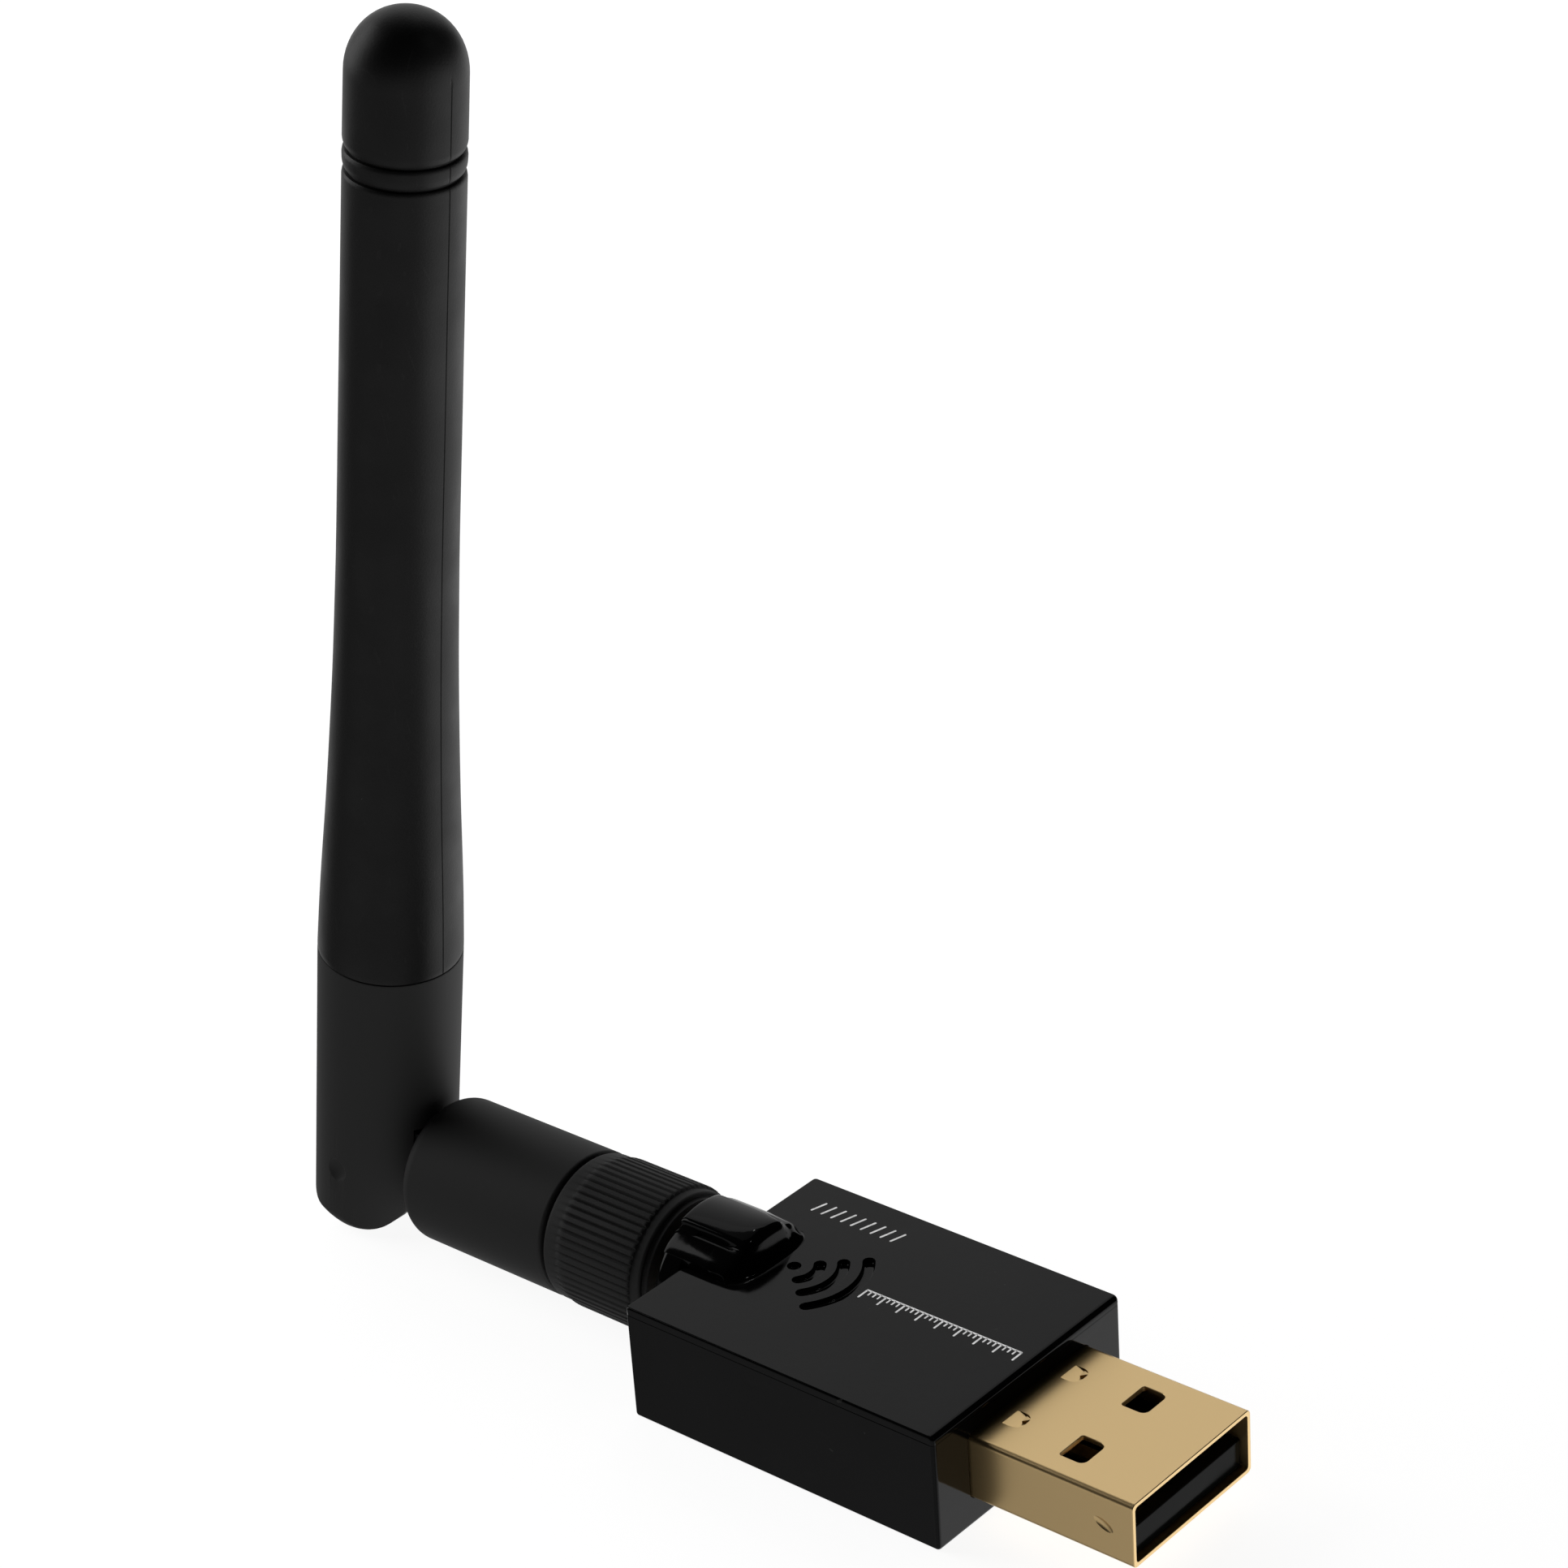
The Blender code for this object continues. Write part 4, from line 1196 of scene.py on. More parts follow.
# ---- Cover over the jack ------------------------------------------------------------------------
@dataclass
class JackCover:
    """Half-round cover whose crown rises over two shoulders and dips down to the lid in front."""

    lid_top: float = 8.2
    axis_z: float = 5.2
    crown: float = 5.3
    shoulder: float = 5.05
    groove: float = 4.82
    crown_angle: float = 21.5
    groove_angle: float = 24.0
    shoulder_angle: float = 27.0
    seam_half: float = 3.66
    inner: float = 3.45
    bend_x: float = -10.7
    bow: float = 0.0035
    side_start: float = 2.9
    side_pull: float = 0.3
    least_reach: float = 0.6
    soft_from: float = -9.9
    slope: tuple[Point2, ...] = ((-13.98, 0.955), (-13.94, 0.975), (-13.85, 0.99), (-13.7, 0.998),
                                 (-13.4, 1.003), (-12.8, 1.008), (-12.0, 1.01), (-11.2, 1.006),
                                 (-10.5, 0.998), (-9.9, 0.986), (-9.4, 0.972), (-9.05, 0.955),
                                 (-8.82, 0.93), (-8.66, 0.89), (-8.55, 0.83), (-8.46, 0.75), (-8.38, 0.65),
                                 (-8.3, 0.54), (-8.21, 0.43), (-8.11, 0.325), (-8.0, 0.23), (-7.89, 0.145),
                                 (-7.78, 0.075), (-7.68, 0.03), (-7.6, 0.008))

    groove_end: dict[float, float] = field(
        default_factory=lambda: {-9.4: 0.15, -9.05: 0.25, -8.82: 0.3, -8.66: 0.3})

    def outline(self) -> list[Point2]:
        """Cross-section, from the right foot over the crown to the left foot."""
        centre = (0.0, self.axis_z)
        seam = math.degrees(math.acos(self.seam_half / self.shoulder))
        right = [(self.seam_half, self.lid_top - 0.8), (self.seam_half, self.lid_top - 0.2)]
        right += arc(centre, self.shoulder, seam, 90 - self.shoulder_angle - 1.5, 8)
        for angle, radius in ((self.shoulder_angle, self.shoulder - 0.03),
                              (self.shoulder_angle - 1.2, self.shoulder - 0.11),
                              (self.groove_angle + 0.6, self.groove + 0.02),
                              (self.groove_angle - 0.3, self.groove),
                              (self.crown_angle + 0.9, self.groove + 0.12),
                              (self.crown_angle + 0.2, self.crown - 0.2),
                              (self.crown_angle - 0.7, self.crown - 0.07),
                              (self.crown_angle - 2.0, self.crown - 0.01)):
            right += arc(centre, radius, 90 - angle, 90, 1)[:1]
        right += arc(centre, self.crown, 90 - self.crown_angle + 4.0, 90, 7)[:-1]
        top = [(0.0, self.axis_z + self.crown)]
        return right + top + [(-y, z) for y, z in reversed(right)]

    def fill_groove(self, cover: bpy.types.Object, x: float, share: float) -> None:
        """Lift the floor of both grooves in one section, so that they run out at the front slope.

        Args:
            cover: The cover.
            x: Place of the section.
            share: Share of the grooves' depth that is filled there.
        """
        for y, z in self.outline():
            radius = math.hypot(y, z - self.axis_z)
            if not 1.87 < y < 2.2 or radius > self.shoulder + 0.04:
                continue
            full = self.crown - 0.1 - (self.crown - self.shoulder) * (y - 1.87) / 0.41
            Bench.verts(cover, lambda co, y=y: abs(co.x - x) < 0.001 and abs(abs(co.y) - y) < 0.0012)
            Bench.move((0, 0, share * (full - radius)))
        Bench.verts(cover, lambda co: abs(co.x - x) < 0.001)

    def build(self) -> None:
        """Loft the cover, add the collar around the jack and bore it."""
        outline = self.outline()
        first_x = self.slope[0][0]
        cover = Bench.chain("jack_cover", [(first_x, y, z) for y, z in outline])
        bpy.ops.mesh.select_all(action="SELECT")
        bpy.ops.mesh.edge_face_add()
        base = self.lid_top
        Bench.resize((1, 1, self.slope[0][1]), (first_x, 0, base))
        for (x0, f0), (x1, f1) in zip(self.slope, self.slope[1:]):
            Bench.extrude((x1 - x0, 0, 0))
            Bench.resize((1, 1, f1 / f0), (x1, 0, base))
            if x1 in self.groove_end:
                self.fill_groove(cover, x1, self.groove_end[x1])
        Bench.close()
        for reach in sorted({round(abs(y), 4) for y, _ in outline}):
            Bench.verts(cover, lambda co, reach=reach: abs(abs(co.y) - reach) < 0.001
                        and co.x > self.bend_x + 0.01)
            share = 1 - self.bow * reach ** 3 - self.side_pull * max(reach - self.side_start, 0.0) ** 2
            Bench.resize((max(share, self.least_reach), 1, 1), (self.bend_x, 0, 0))
        Bench.verts(cover, lambda co: co.x > self.soft_from and co.z > self.lid_top + 0.12)
        bpy.ops.mesh.vertices_smooth(factor=0.5, repeat=5)
        Bench.clear()
        full, rear, front = self.shoulder - 0.012, self.slope[0][0], -12.42
        profile = [(rear, self.inner), (rear, self.shoulder - 0.17), (-13.93, self.shoulder - 0.08),
                   (-13.82, self.shoulder - 0.03), (-13.65, full), (front, full), (front, self.inner),
                   (rear, self.inner)]
        collar = Bench.turned("tool_collar", profile, Axis.X, 96, (0, 0, self.axis_z))
        half = Bench.block("tool_half", (-15, -7, self.axis_z), (-11, 7, self.axis_z + 7))
        Bench.boolean(collar, half, Cut.KEEP_COMMON)
        Bench.boolean(cover, collar, Cut.JOIN)
        bore = Bench.turned("tool_bore", [(-15, 0.0), (-15, self.inner), (-9.4, self.inner), (-9.4, 0.0)],
                            Axis.X, 64, (0, 0, self.axis_z))
        Bench.boolean(cover, bore, Cut.TAKE_AWAY)
        place(dress(Bench.finish(cover, 40), Finishes.HOUSING), Body.ADAPTER, Slot.HOUSING, ["jack_turret"])


# ---- Plug ---------------------------------------------------------------------------------------
@dataclass
class Plug:
    """Gold-plated shell with its windows and pressed tabs, and the black tongue inside."""

    shell: Span = field(default_factory=lambda: Span.of_node("usb_shell"))
    tongue: Span = field(default_factory=lambda: Span.of_node("usb_tongue"))
    wall: float = 0.3
    corner: float = 0.36
    window_back: float = 5.68
    window_side: float = 3.1
    window: Point2 = (1.76, 2.34)
    tab_back: float = 10.65
    tab_side: float = 2.9
    tab_size: Point2 = (1.25, 1.6)
    tab_sunk: float = 0.015
    tab_fall: float = 0.19
    dent_back: float = 2.15
    dimple: Point3 = (1.15, 0.5, 0.52)
    dimple_depth: float = 0.12
    contact_rows: tuple[float, ...] = (-3.5, -1.0, 1.0, 3.5)

    def build(self) -> None:
        """Shell and tongue."""
        place(dress(Bench.finish(self.make_shell(), 35), Finishes.GOLD), Body.ADAPTER, Slot.PLUG_GOLD,
              ["usb_shell"])
        place(dress(Bench.finish(self.make_tongue(), 30), Finishes.TONGUE), Body.ADAPTER, Slot.INSULATOR,
              ["usb_tongue"])

    def make_shell(self) -> bpy.types.Object:
        """Folded tube: a rounded block, hollowed, with windows, tabs, dents and its seam below.

        Returns:
            The piece.
        """
        low, high = self.shell.low, self.shell.high
        middle_z = (low.z + high.z) / 2
        shell = Bench.block("plug_shell", low, high)
        Bench.edges(shell, lambda a, b: abs(a.x - b.x) > 5)
        Bench.bevel(self.corner, 8)
        Bench.edges(shell, lambda a, b: min(a.x, b.x) > high.x - 0.01)
        Bench.bevel(0.07, 3)
        Bench.clear()
        size = (high.y - low.y - 2 * self.wall, high.z - low.z - 2 * self.wall)
        room = Bench.prism("tool_room", round_box((0, middle_z), size, (0.25,) * 4), Axis.X,
                           (low.x - 1, high.x + 1))
        Bench.boolean(shell, room, Cut.TAKE_AWAY)
        Bench.edges(shell, lambda a, b: min(a.x, b.x) > high.x - 0.001
                    and max(abs(a.y), abs(b.y)) < size[0] / 2 + 0.01
                    and max(abs(a.z - middle_z), abs(b.z - middle_z)) < size[1] / 2 + 0.01)
        Bench.bevel(0.06, 2)
        Bench.clear()
        for side in (-1, 1):
            self.cut_window(shell, side)
            self.press_tab(shell, side)
            self.press_dent(shell, side)
        seam = Bench.block("tool_seam", (low.x - 1, -0.035, low.z - 1), (high.x + 1, 0.035, low.z + 0.12))
        Bench.boolean(shell, seam, Cut.TAKE_AWAY)
        return shell

    def cut_window(self, shell: bpy.types.Object, side: int) -> None:
        """One window in the top wall and one below it, their rims rolled in.

        Args:
            shell: The shell.
            side: -1 or 1 for the side of the middle.
        """
        low, high = self.shell.low, self.shell.high
        centre = (high.x - self.window_back, side * self.window_side)
        outline = round_box(centre, self.window, (0.45, 0.16, 0.16, 0.45))
        Bench.boolean(shell, Bench.prism("tool_window", outline, Axis.Z, (low.z - 1, low.z + 0.8)),
                      Cut.TAKE_AWAY)
        Bench.boolean(shell, Bench.prism("tool_window", outline, Axis.Z, (high.z - 0.8, high.z + 1)),
                      Cut.TAKE_AWAY)
        reach = (self.window[0] / 2 + 0.02, self.window[1] / 2 + 0.02)

        def on_rim(first: Vector, second: Vector) -> bool:
            """True for an edge where the window meets the outside."""
            middle = (first + second) / 2
            outside = min(first.z, second.z) > high.z - 0.001 or max(first.z, second.z) < low.z + 0.001
            return (outside and abs(middle.x - centre[0]) < reach[0] and abs(middle.y - centre[1]) < reach[1]
                    and abs(first.x - centre[0]) < reach[0] and abs(second.x - centre[0]) < reach[0])

        Bench.edges(shell, on_rim)
        Bench.bevel(0.07, 3)
        Bench.clear()

    def press_tab(self, shell: bpy.types.Object, side: int) -> None:
        """One pressed D-shaped tab near the root, deepest at its front.

        Args:
            shell: The shell.
            side: -1 or 1 for the side of the middle.
        """
        high = self.shell.high
        centre = (high.x - self.tab_back, side * self.tab_side)
        outline = round_box(centre, self.tab_size, (0.6, 0.1, 0.1, 0.6))
        tool = Bench.prism("tool_tab", outline, Axis.Z, (high.z - self.tab_sunk, high.z + 1))
        Bench.verts(tool, lambda co: co.z < high.z and co.x > centre[0])
        Bench.move((0, 0, -self.tab_fall))
        Bench.clear()
        Bench.boolean(shell, tool, Cut.TAKE_AWAY)
        corners_of_lip = [(centre[0] + 0.25, centre[1] + 0.05), (centre[0] + 0.62, centre[1] + 0.5),
                          (centre[0] + 0.2, centre[1] + 0.62)]
        lip = Bench.prism("tool_lip", corners_of_lip, Axis.Z, (high.z - 0.2, high.z - 0.005))
        Bench.boolean(shell, lip, Cut.JOIN)

    def press_dent(self, shell: bpy.types.Object, side: int) -> None:
        """One slanted oval dimple in the side wall near the tip.

        Args:
            shell: The shell.
            side: -1 or 1 for the side of the middle.
        """
        high = self.shell.high
        long, deep, wide = self.dimple
        tool = Bench.ball("tool_dimple", (0, 0, 0), 1.0)
        tool.scale = (long, deep, wide)
        tool.rotation_euler = (0.0, math.radians(24), 0.0)
        tool.location = (high.x - self.dent_back, side * (high.y + deep - self.dimple_depth),
                         (self.shell.low.z + high.z) / 2 + 0.1)
        Bench.take(tool)
        Bench.settle()
        Bench.boolean(shell, tool, Cut.TAKE_AWAY)

    def make_tongue(self) -> bpy.types.Object:
        """Tongue: a block at the root, a slab under the contacts and a channel for each of them.

        Returns:
            The piece.
        """
        low, high = self.tongue.low, self.tongue.high
        step = low.z + 2.0
        slab = Bench.block("plug_tongue", low, (high.x, high.y, step))
        root = Bench.block("tool_root", low, (low.x + 3.8, high.y, high.z))
        Bench.boolean(slab, root, Cut.JOIN)
        Bench.edges(slab, lambda a, b: min(a.x, b.x) > high.x - 0.01)
        Bench.bevel(0.12, 3)
        Bench.clear()
        for row in self.contact_rows:
            channel = Bench.block("tool_channel", (low.x - 1.2, row - 0.58, step - 0.12),
                                  (high.x - 0.7, row + 0.58, step + 0.55))
            Bench.boolean(slab, channel, Cut.TAKE_AWAY)
        return slab


# ---- Coupling nut -------------------------------------------------------------------------------
@dataclass
class CouplingNut:
    """Ribbed plastic skin of the nut."""

    nut: Span = field(default_factory=lambda: Span.of_node("coupling_nut"))
    ribs: int = 60
    rib_steps: int = 8
    crest: float = 5.18
    band: float = 5.05
    valley: float = 5.015
    ring: float = 4.96
    neck: float = 4.62
    bore: float = 4.2
    mouth: float = 3.55
    stop: float = 3.1

    def build(self) -> None:
        """Spin the skin, then press the valleys between its ribs."""
        rear, front = self.nut.low.x, self.nut.high.x
        axis_z = (self.nut.low.z + self.nut.high.z) / 2
        crest, band = self.crest, self.band
        rise = [(rear + 1.2, crest - 0.10), (rear + 1.36, crest - 0.045), (rear + 1.54, crest - 0.01),
                (rear + 1.74, crest), (rear + 4.5, crest), (front - 1.42, crest),
                (front - 1.3, crest - 0.02), (front - 1.22, crest - 0.08)]
        profile = [(rear, self.stop), (rear, 4.86), (rear + 0.04, 4.95), (rear + 0.13, 5.02),
                   (rear + 0.28, band), (rear + 1.04, band)]
        profile += rise
        profile += [(front - 1.19, self.ring + 0.03), (front - 1.12, self.ring), (front - 0.62, self.ring),
                    (front - 0.50, self.ring - 0.03), (front - 0.43, self.ring - 0.11),
                    (front - 0.42, self.neck + 0.05), (front - 0.36, self.neck), (front - 0.06, self.neck),
                    (front, self.neck - 0.06), (front, self.mouth + 0.1), (front - 0.1, self.mouth),
                    (front - 0.24, self.mouth), (front - 0.24, self.bore), (rear + 0.64, self.bore),
                    (rear + 0.64, self.stop), (rear, self.stop)]
        steps = self.ribs * self.rib_steps
        nut = Bench.turned("nut_skin", profile, Axis.X, steps, (0, 0, axis_z))
        for x, radius in rise:
            for offsets, share in (((0,), 1.0), ((1, self.rib_steps - 1), 0.5)):
                depth = max(radius - self.valley, 0.0) * share
                Bench.verts(nut, lambda co, x=x, offsets=offsets: abs(co.x - x) < 0.01
                            and self.column(co, axis_z, steps) in offsets)
                Bench.resize((1, (radius - depth) / radius, (radius - depth) / radius), (x, 0, axis_z))
        Bench.clear()
        place(dress(Bench.finish(nut, 38), Finishes.SATIN), Body.NUT, Slot.SATIN, ["coupling_nut"])

    def column(self, co: Vector, axis_z: float, steps: int) -> int:
        """Place of a vertex within its rib.

        Args:
            co: Its position.
            axis_z: Height of the nut's axis.
            steps: Columns in the full turn.

        Returns:
            The column's number, from 0 in a valley.
        """
        angle = math.atan2(co.y, co.z - axis_z)
        return round(angle / (2 * math.pi) * steps) % self.rib_steps


# ---- Swivel body --------------------------------------------------------------------------------
@dataclass
class SwivelBody:
    """Round base that turns on the connector and carries the hinge's tongue."""

    base: Span = field(default_factory=lambda: Span.of_node("swivel_base"))
    hinge: Vector = field(default_factory=lambda: joint_place("antenna_fold"))
    radius: float = 5.05
    length: float = 13.2
    end_round: float = 1.1
    tongue_half: float = 1.7
    tongue_radius: float = 2.9
    pin_hole: float = 0.93

    def build(self) -> None:
        """Spin the base, join the tongue and drill it."""
        front = self.base.high.x
        end = front - self.length
        axis_z = self.hinge.z
        radius = self.radius
        profile = [(end + 1.2, 0.0), (end + 1.2, 1.0), (end + 4.4, 1.0), (end + 4.4, 2.3), (front, 2.3),
                   (front, radius - 0.16), (front - 0.03, radius - 0.08), (front - 0.1, radius - 0.02),
                   (front - 0.22, radius), (front - 4.0, radius), (front - 8.0, radius)]
        profile += arc((end + self.end_round, radius - self.end_round), self.end_round, 90, 180, 12)
        profile += [(end, 2.4), (end, 0.0)]
        base = Bench.turned("swivel_body", profile, Axis.X, 128, (0, 0, axis_z))
        outline = arc((self.hinge.x, axis_z), self.tongue_radius, 90, 270, 24)
        outline += [(end + 0.6, axis_z - self.tongue_radius), (end + 0.6, axis_z + self.tongue_radius)]
        tongue = Bench.prism("tool_tongue", outline, Axis.Y, (-self.tongue_half, self.tongue_half))
        Bench.edges(tongue, lambda a, b: abs(a.y - b.y) < 0.01 and max(a.x, b.x) < end + 0.5)
        Bench.bevel(0.2, 3)
        Bench.clear()
        Bench.boolean(base, tongue, Cut.JOIN)
        hole = Bench.prism("tool_hole", arc((self.hinge.x, axis_z), self.pin_hole, 0, 352.5, 47), Axis.Y,
                           (-self.tongue_half - 1, self.tongue_half + 1))
        Bench.boolean(base, hole, Cut.TAKE_AWAY)
        place(dress(Bench.finish(base, 35), Finishes.SATIN), Body.SWIVEL, Slot.SATIN, ["swivel_base"])


# ---- Antenna ------------------------------------------------------------------------------------
@dataclass
class RodAntenna:
    """Knuckle and sheath, drawn upright about the hinge pin and then leant over."""

    hinge: Vector = field(default_factory=lambda: joint_place("antenna_fold"))
    lean: float = field(default_factory=lambda: math.radians(joint_limit("antenna_fold") - 90.0))
    radius: float = 4.87
    foot: float = 5.19
    foot_width: float = 4.92
    spigot: float = 3.55
    spigot_top: float = 21.0
    bore: float = 0.95
    bore_foot: float = 4.6
    pin_radius: float = 0.9
    cheek_round: float = 1.6
    slot_half: float = 2.0
    slot_top: float = 4.2
    slot_back: float = -3.4
    dish: float = 1.5
    dish_depth: float = 0.32
    seam: float = 16.3
    tip: float = 82.49
    dome_foot: float = 78.6
    dome_radius: float = 3.72
    outline: tuple[Point2, ...] = ((16.8, 4.865), (18.0, 4.83), (20.5, 4.75), (23.0, 4.64), (28.0, 4.39),
                                   (33.0, 4.19), (38.0, 4.03), (43.0, 3.93), (47.5, 3.87), (56.6, 3.83),
                                   (65.0, 3.785), (72.0, 3.76))
    grooves: Point2 = (72.5, 73.9)
    groove_depth: float = 0.3
    parting_half: float = 0.05
    parting_depth: float = 0.05

    def build(self) -> None:
        """Knuckle, then sheath."""
        place(dress(Bench.finish(self.lean_over(self.make_knuckle()), 40), Finishes.SATIN), Body.ANTENNA,
              Slot.SATIN, ["antenna_knuckle"])
        place(dress(Bench.finish(self.lean_over(self.make_sheath()), 30), Finishes.SHEATH), Body.ANTENNA,
              Slot.SHEATH, ["antenna_sheath"])

    def lean_over(self, obj: bpy.types.Object) -> bpy.types.Object:
        """Turn a piece from the upright drawing to its rest pose.

        Args:
            obj: The piece, drawn about the hinge pin.

        Returns:
            The piece in place.
        """
        Bench.take(obj)
        obj.rotation_euler = (0.0, self.lean, 0.0)
        obj.location = self.hinge
        Bench.settle()
        return obj

    def make_knuckle(self) -> bpy.types.Object:
        """Round foot with softened cheeks, a spigot on top, the slot and the pin's dimples.

        Returns:
            The piece.
        """
        low = -self.foot - 1.0
        top = self.spigot_top
        profile = [(low, 0.0), (low, self.radius), (0.0, self.radius), (6.0, self.radius),
                   (12.0, self.radius), (self.seam - 0.14, self.radius),
                   (self.seam - 0.05, self.radius - 0.03), (self.seam - 0.02, self.radius - 0.1),
                   (self.seam - 0.02, self.spigot), (20.8, self.spigot), (top, 3.35), (top, self.bore),
                   (self.bore_foot, self.bore), (self.bore_foot, 0.0)]
        knuckle = Bench.turned("antenna_foot", profile, Axis.Z, 128)
        flat = self.radius - self.cheek_round
        side = [(flat + self.cheek_round * math.sin(math.radians(angle)),
                 self.foot - self.cheek_round * (1 - math.cos(math.radians(angle))))
                for angle in range(0, 91, 9)]
        barrel_profile = [(-self.radius - 0.2, 0.0), (-self.radius - 0.2, side[-1][1])]
        barrel_profile += [(-y, reach) for y, reach in reversed(side)] + side
        barrel_profile += [(self.radius + 0.2, side[-1][1]), (self.radius + 0.2, 0.0)]
        barrel = Bench.turned("tool_barrel", barrel_profile, Axis.Y, 160)
        barrel.scale = (self.foot_width / self.foot, 1.0, 1.0)
        Bench.take(barrel)
        Bench.settle()
        above = Bench.block("tool_above", (-7.0, -7.0, -0.02), (7.0, 7.0, 24.0))
        Bench.boolean(barrel, above, Cut.JOIN)
        Bench.boolean(knuckle, barrel, Cut.KEEP_COMMON)
        slot = Bench.block("tool_slot", (self.slot_back, -self.slot_half, -7.2),
                           (self.radius + 2, self.slot_half, self.slot_top))
        Bench.edges(slot, lambda a, b: min(a.z, b.z) > self.slot_top - 0.01 and abs(a.x - b.x) < 0.01
                    and max(a.x, b.x) < 0)
        Bench.bevel(1.2, 5)
        Bench.clear()
        Bench.boolean(knuckle, slot, Cut.TAKE_AWAY)
        pin = Bench.prism("tool_pin", arc((0, 0), self.pin_radius, 0, 352.5, 47), Axis.Y,
                          (-4.2, 4.2))
        Bench.boolean(knuckle, pin, Cut.TAKE_AWAY)
        for side in (-1, 1):
            centre = (0, side * (self.radius + self.dish - self.dish_depth), 0)
            Bench.boolean(knuckle, Bench.ball("tool_dish", centre, self.dish), Cut.TAKE_AWAY)
        return knuckle

    def make_sheath(self) -> bpy.types.Object:
        """Tapered sheath with two ring grooves, a domed tip and its mould's parting lines.

        Returns:
            The piece.
        """
        profile: list[Point2] = [(self.seam + 0.02, 3.65), (self.seam + 0.02, 4.78), (self.seam + 0.06, 4.84),
                                 (self.seam + 0.16, 4.868)]
        profile += flowing(self.outline[:-1], 1.3)
        waist = self.outline[-1][1]
        for centre in self.grooves:
            floor = waist - self.groove_depth
            profile += [(centre - 0.42, waist), (centre - 0.22, waist - 0.03), (centre - 0.13, waist - 0.10),
                        (centre - 0.10, floor), (centre + 0.09, floor), (centre + 0.15, waist - 0.13),
                        (centre + 0.42, waist - 0.035), (centre + 0.6, waist - 0.01)]
        profile += [(76.0, self.dome_radius + 0.02), (self.dome_foot, self.dome_radius)]
        height = self.tip - self.dome_foot
        for step in range(1, 17):
            angle = math.radians(90 * step / 16)
            profile.append((self.dome_foot + height * math.sin(angle),
                            self.dome_radius * max(math.cos(angle), 0.0) ** 0.94))
        profile[-1] = (self.tip, 0.0)
        profile += [(76.0, 0.0), (76.0, 2.95), (22.0, 2.95), (21.5, 3.65), (self.seam + 0.02, 3.65)]
        start = len(profile) - 5
        sheath = Bench.turned("antenna_rod", profile[start:-1] + profile[:start], Axis.Z, 128)
        for offset in (-self.parting_half, self.parting_half):
            Bench.faces(sheath, lambda c, n: c.z < self.dome_foot + 0.6 and c.xy.length > 3.5)
            bpy.ops.mesh.bisect(plane_co=(0, offset, 0), plane_no=(0, 1, 0))
        Bench.verts(sheath, lambda co: abs(co.y) < 0.004 and co.z < self.dome_foot + 0.5 and abs(co.x) > 3.66)
        factor = 1 - self.parting_depth / 4.0
        Bench.resize((factor, factor, 1), (0, 0, 0))
        Bench.clear()
        return sheath


# ---- Pieces carried over from the frame -----------------------------------------------------------
class Insides:
    """Inner pieces keep their frame's shape and get a finish each."""

    WEAR: dict[str, Finish] = {
        "usb_contact_power": Finishes.CONTACT, "usb_contact_data_minus": Finishes.CONTACT,
        "usb_contact_data_plus": Finishes.CONTACT, "usb_contact_ground": Finishes.CONTACT,
        "main_board": Finishes.BOARD, "wifi_chip": Finishes.CHIP, "crystal": Finishes.CAN,
        "power_inductor": Finishes.CHIP, "front_end_module": Finishes.CHIP,
        "band_splitter": Finishes.CERAMIC, "jack_shell": Finishes.JACK_GOLD,
        "jack_insulator": Finishes.WHITE, "jack_pin": Finishes.CONTACT,
        "connector_ferrule": Finishes.BRASS, "connector_insulator": Finishes.WHITE,
        "connector_socket": Finishes.CONTACT, "retaining_ring": Finishes.STEEL,
        "coax_lead": Finishes.CABLE, "nut_insert": Finishes.BRASS, "hinge_pin": Finishes.STEEL,
        "coax_feed": Finishes.CABLE, "radiator_sleeve": Finishes.BRASS, "radiator_tip": Finishes.BRASS,
    }

    def build(self, nodes: dict[str, bpy.types.Object]) -> None:
        """Dress every carried-over node.

        Args:
            nodes: The frame's objects by name.
        """
        for label, finish in self.WEAR.items():
            dress(nodes[label], finish)
        for label in sorted(nodes):
            if label.startswith("capacitor_"):
                dress(nodes[label], Finishes.CERAMIC)


# ---- Studio -------------------------------------------------------------------------------------
@dataclass(frozen=True)
class Softbox:
    """One area light, placed about the object and aimed at it."""

    name: str
    azimuth: float
    elevation: float
    distance: float
    size: Point2
    power: float

    def hang(self, target: Vector) -> None:
        """Hang the light.

        Args:
            target: The point that it faces.
        """
        data = bpy.data.lights.new(self.name, "AREA")
        data.shape = "RECTANGLE"
        data.size, data.size_y = self.size
        data.energy = self.power
        lamp = bpy.data.objects.new(self.name, data)
        bpy.context.collection.objects.link(lamp)
        away = direction(self.azimuth, self.elevation)
        lamp.location = target + away * self.distance
        lamp.rotation_euler = away.to_track_quat("Z", "Y").to_euler()
        lamp.visible_camera = False


def direction(azimuth: float, elevation: float) -> Vector:
    """Unit vector from the object towards a place around it.

    Args:
        azimuth: Degrees; 0 is on the -Y side and 90 on the +X side.
        elevation: Degrees above the horizon.

    Returns:
        The vector.
    """
    turn, rise = math.radians(azimuth), math.radians(elevation)
    return Vector((math.sin(turn) * math.cos(rise), -math.cos(turn) * math.cos(rise), math.sin(rise)))


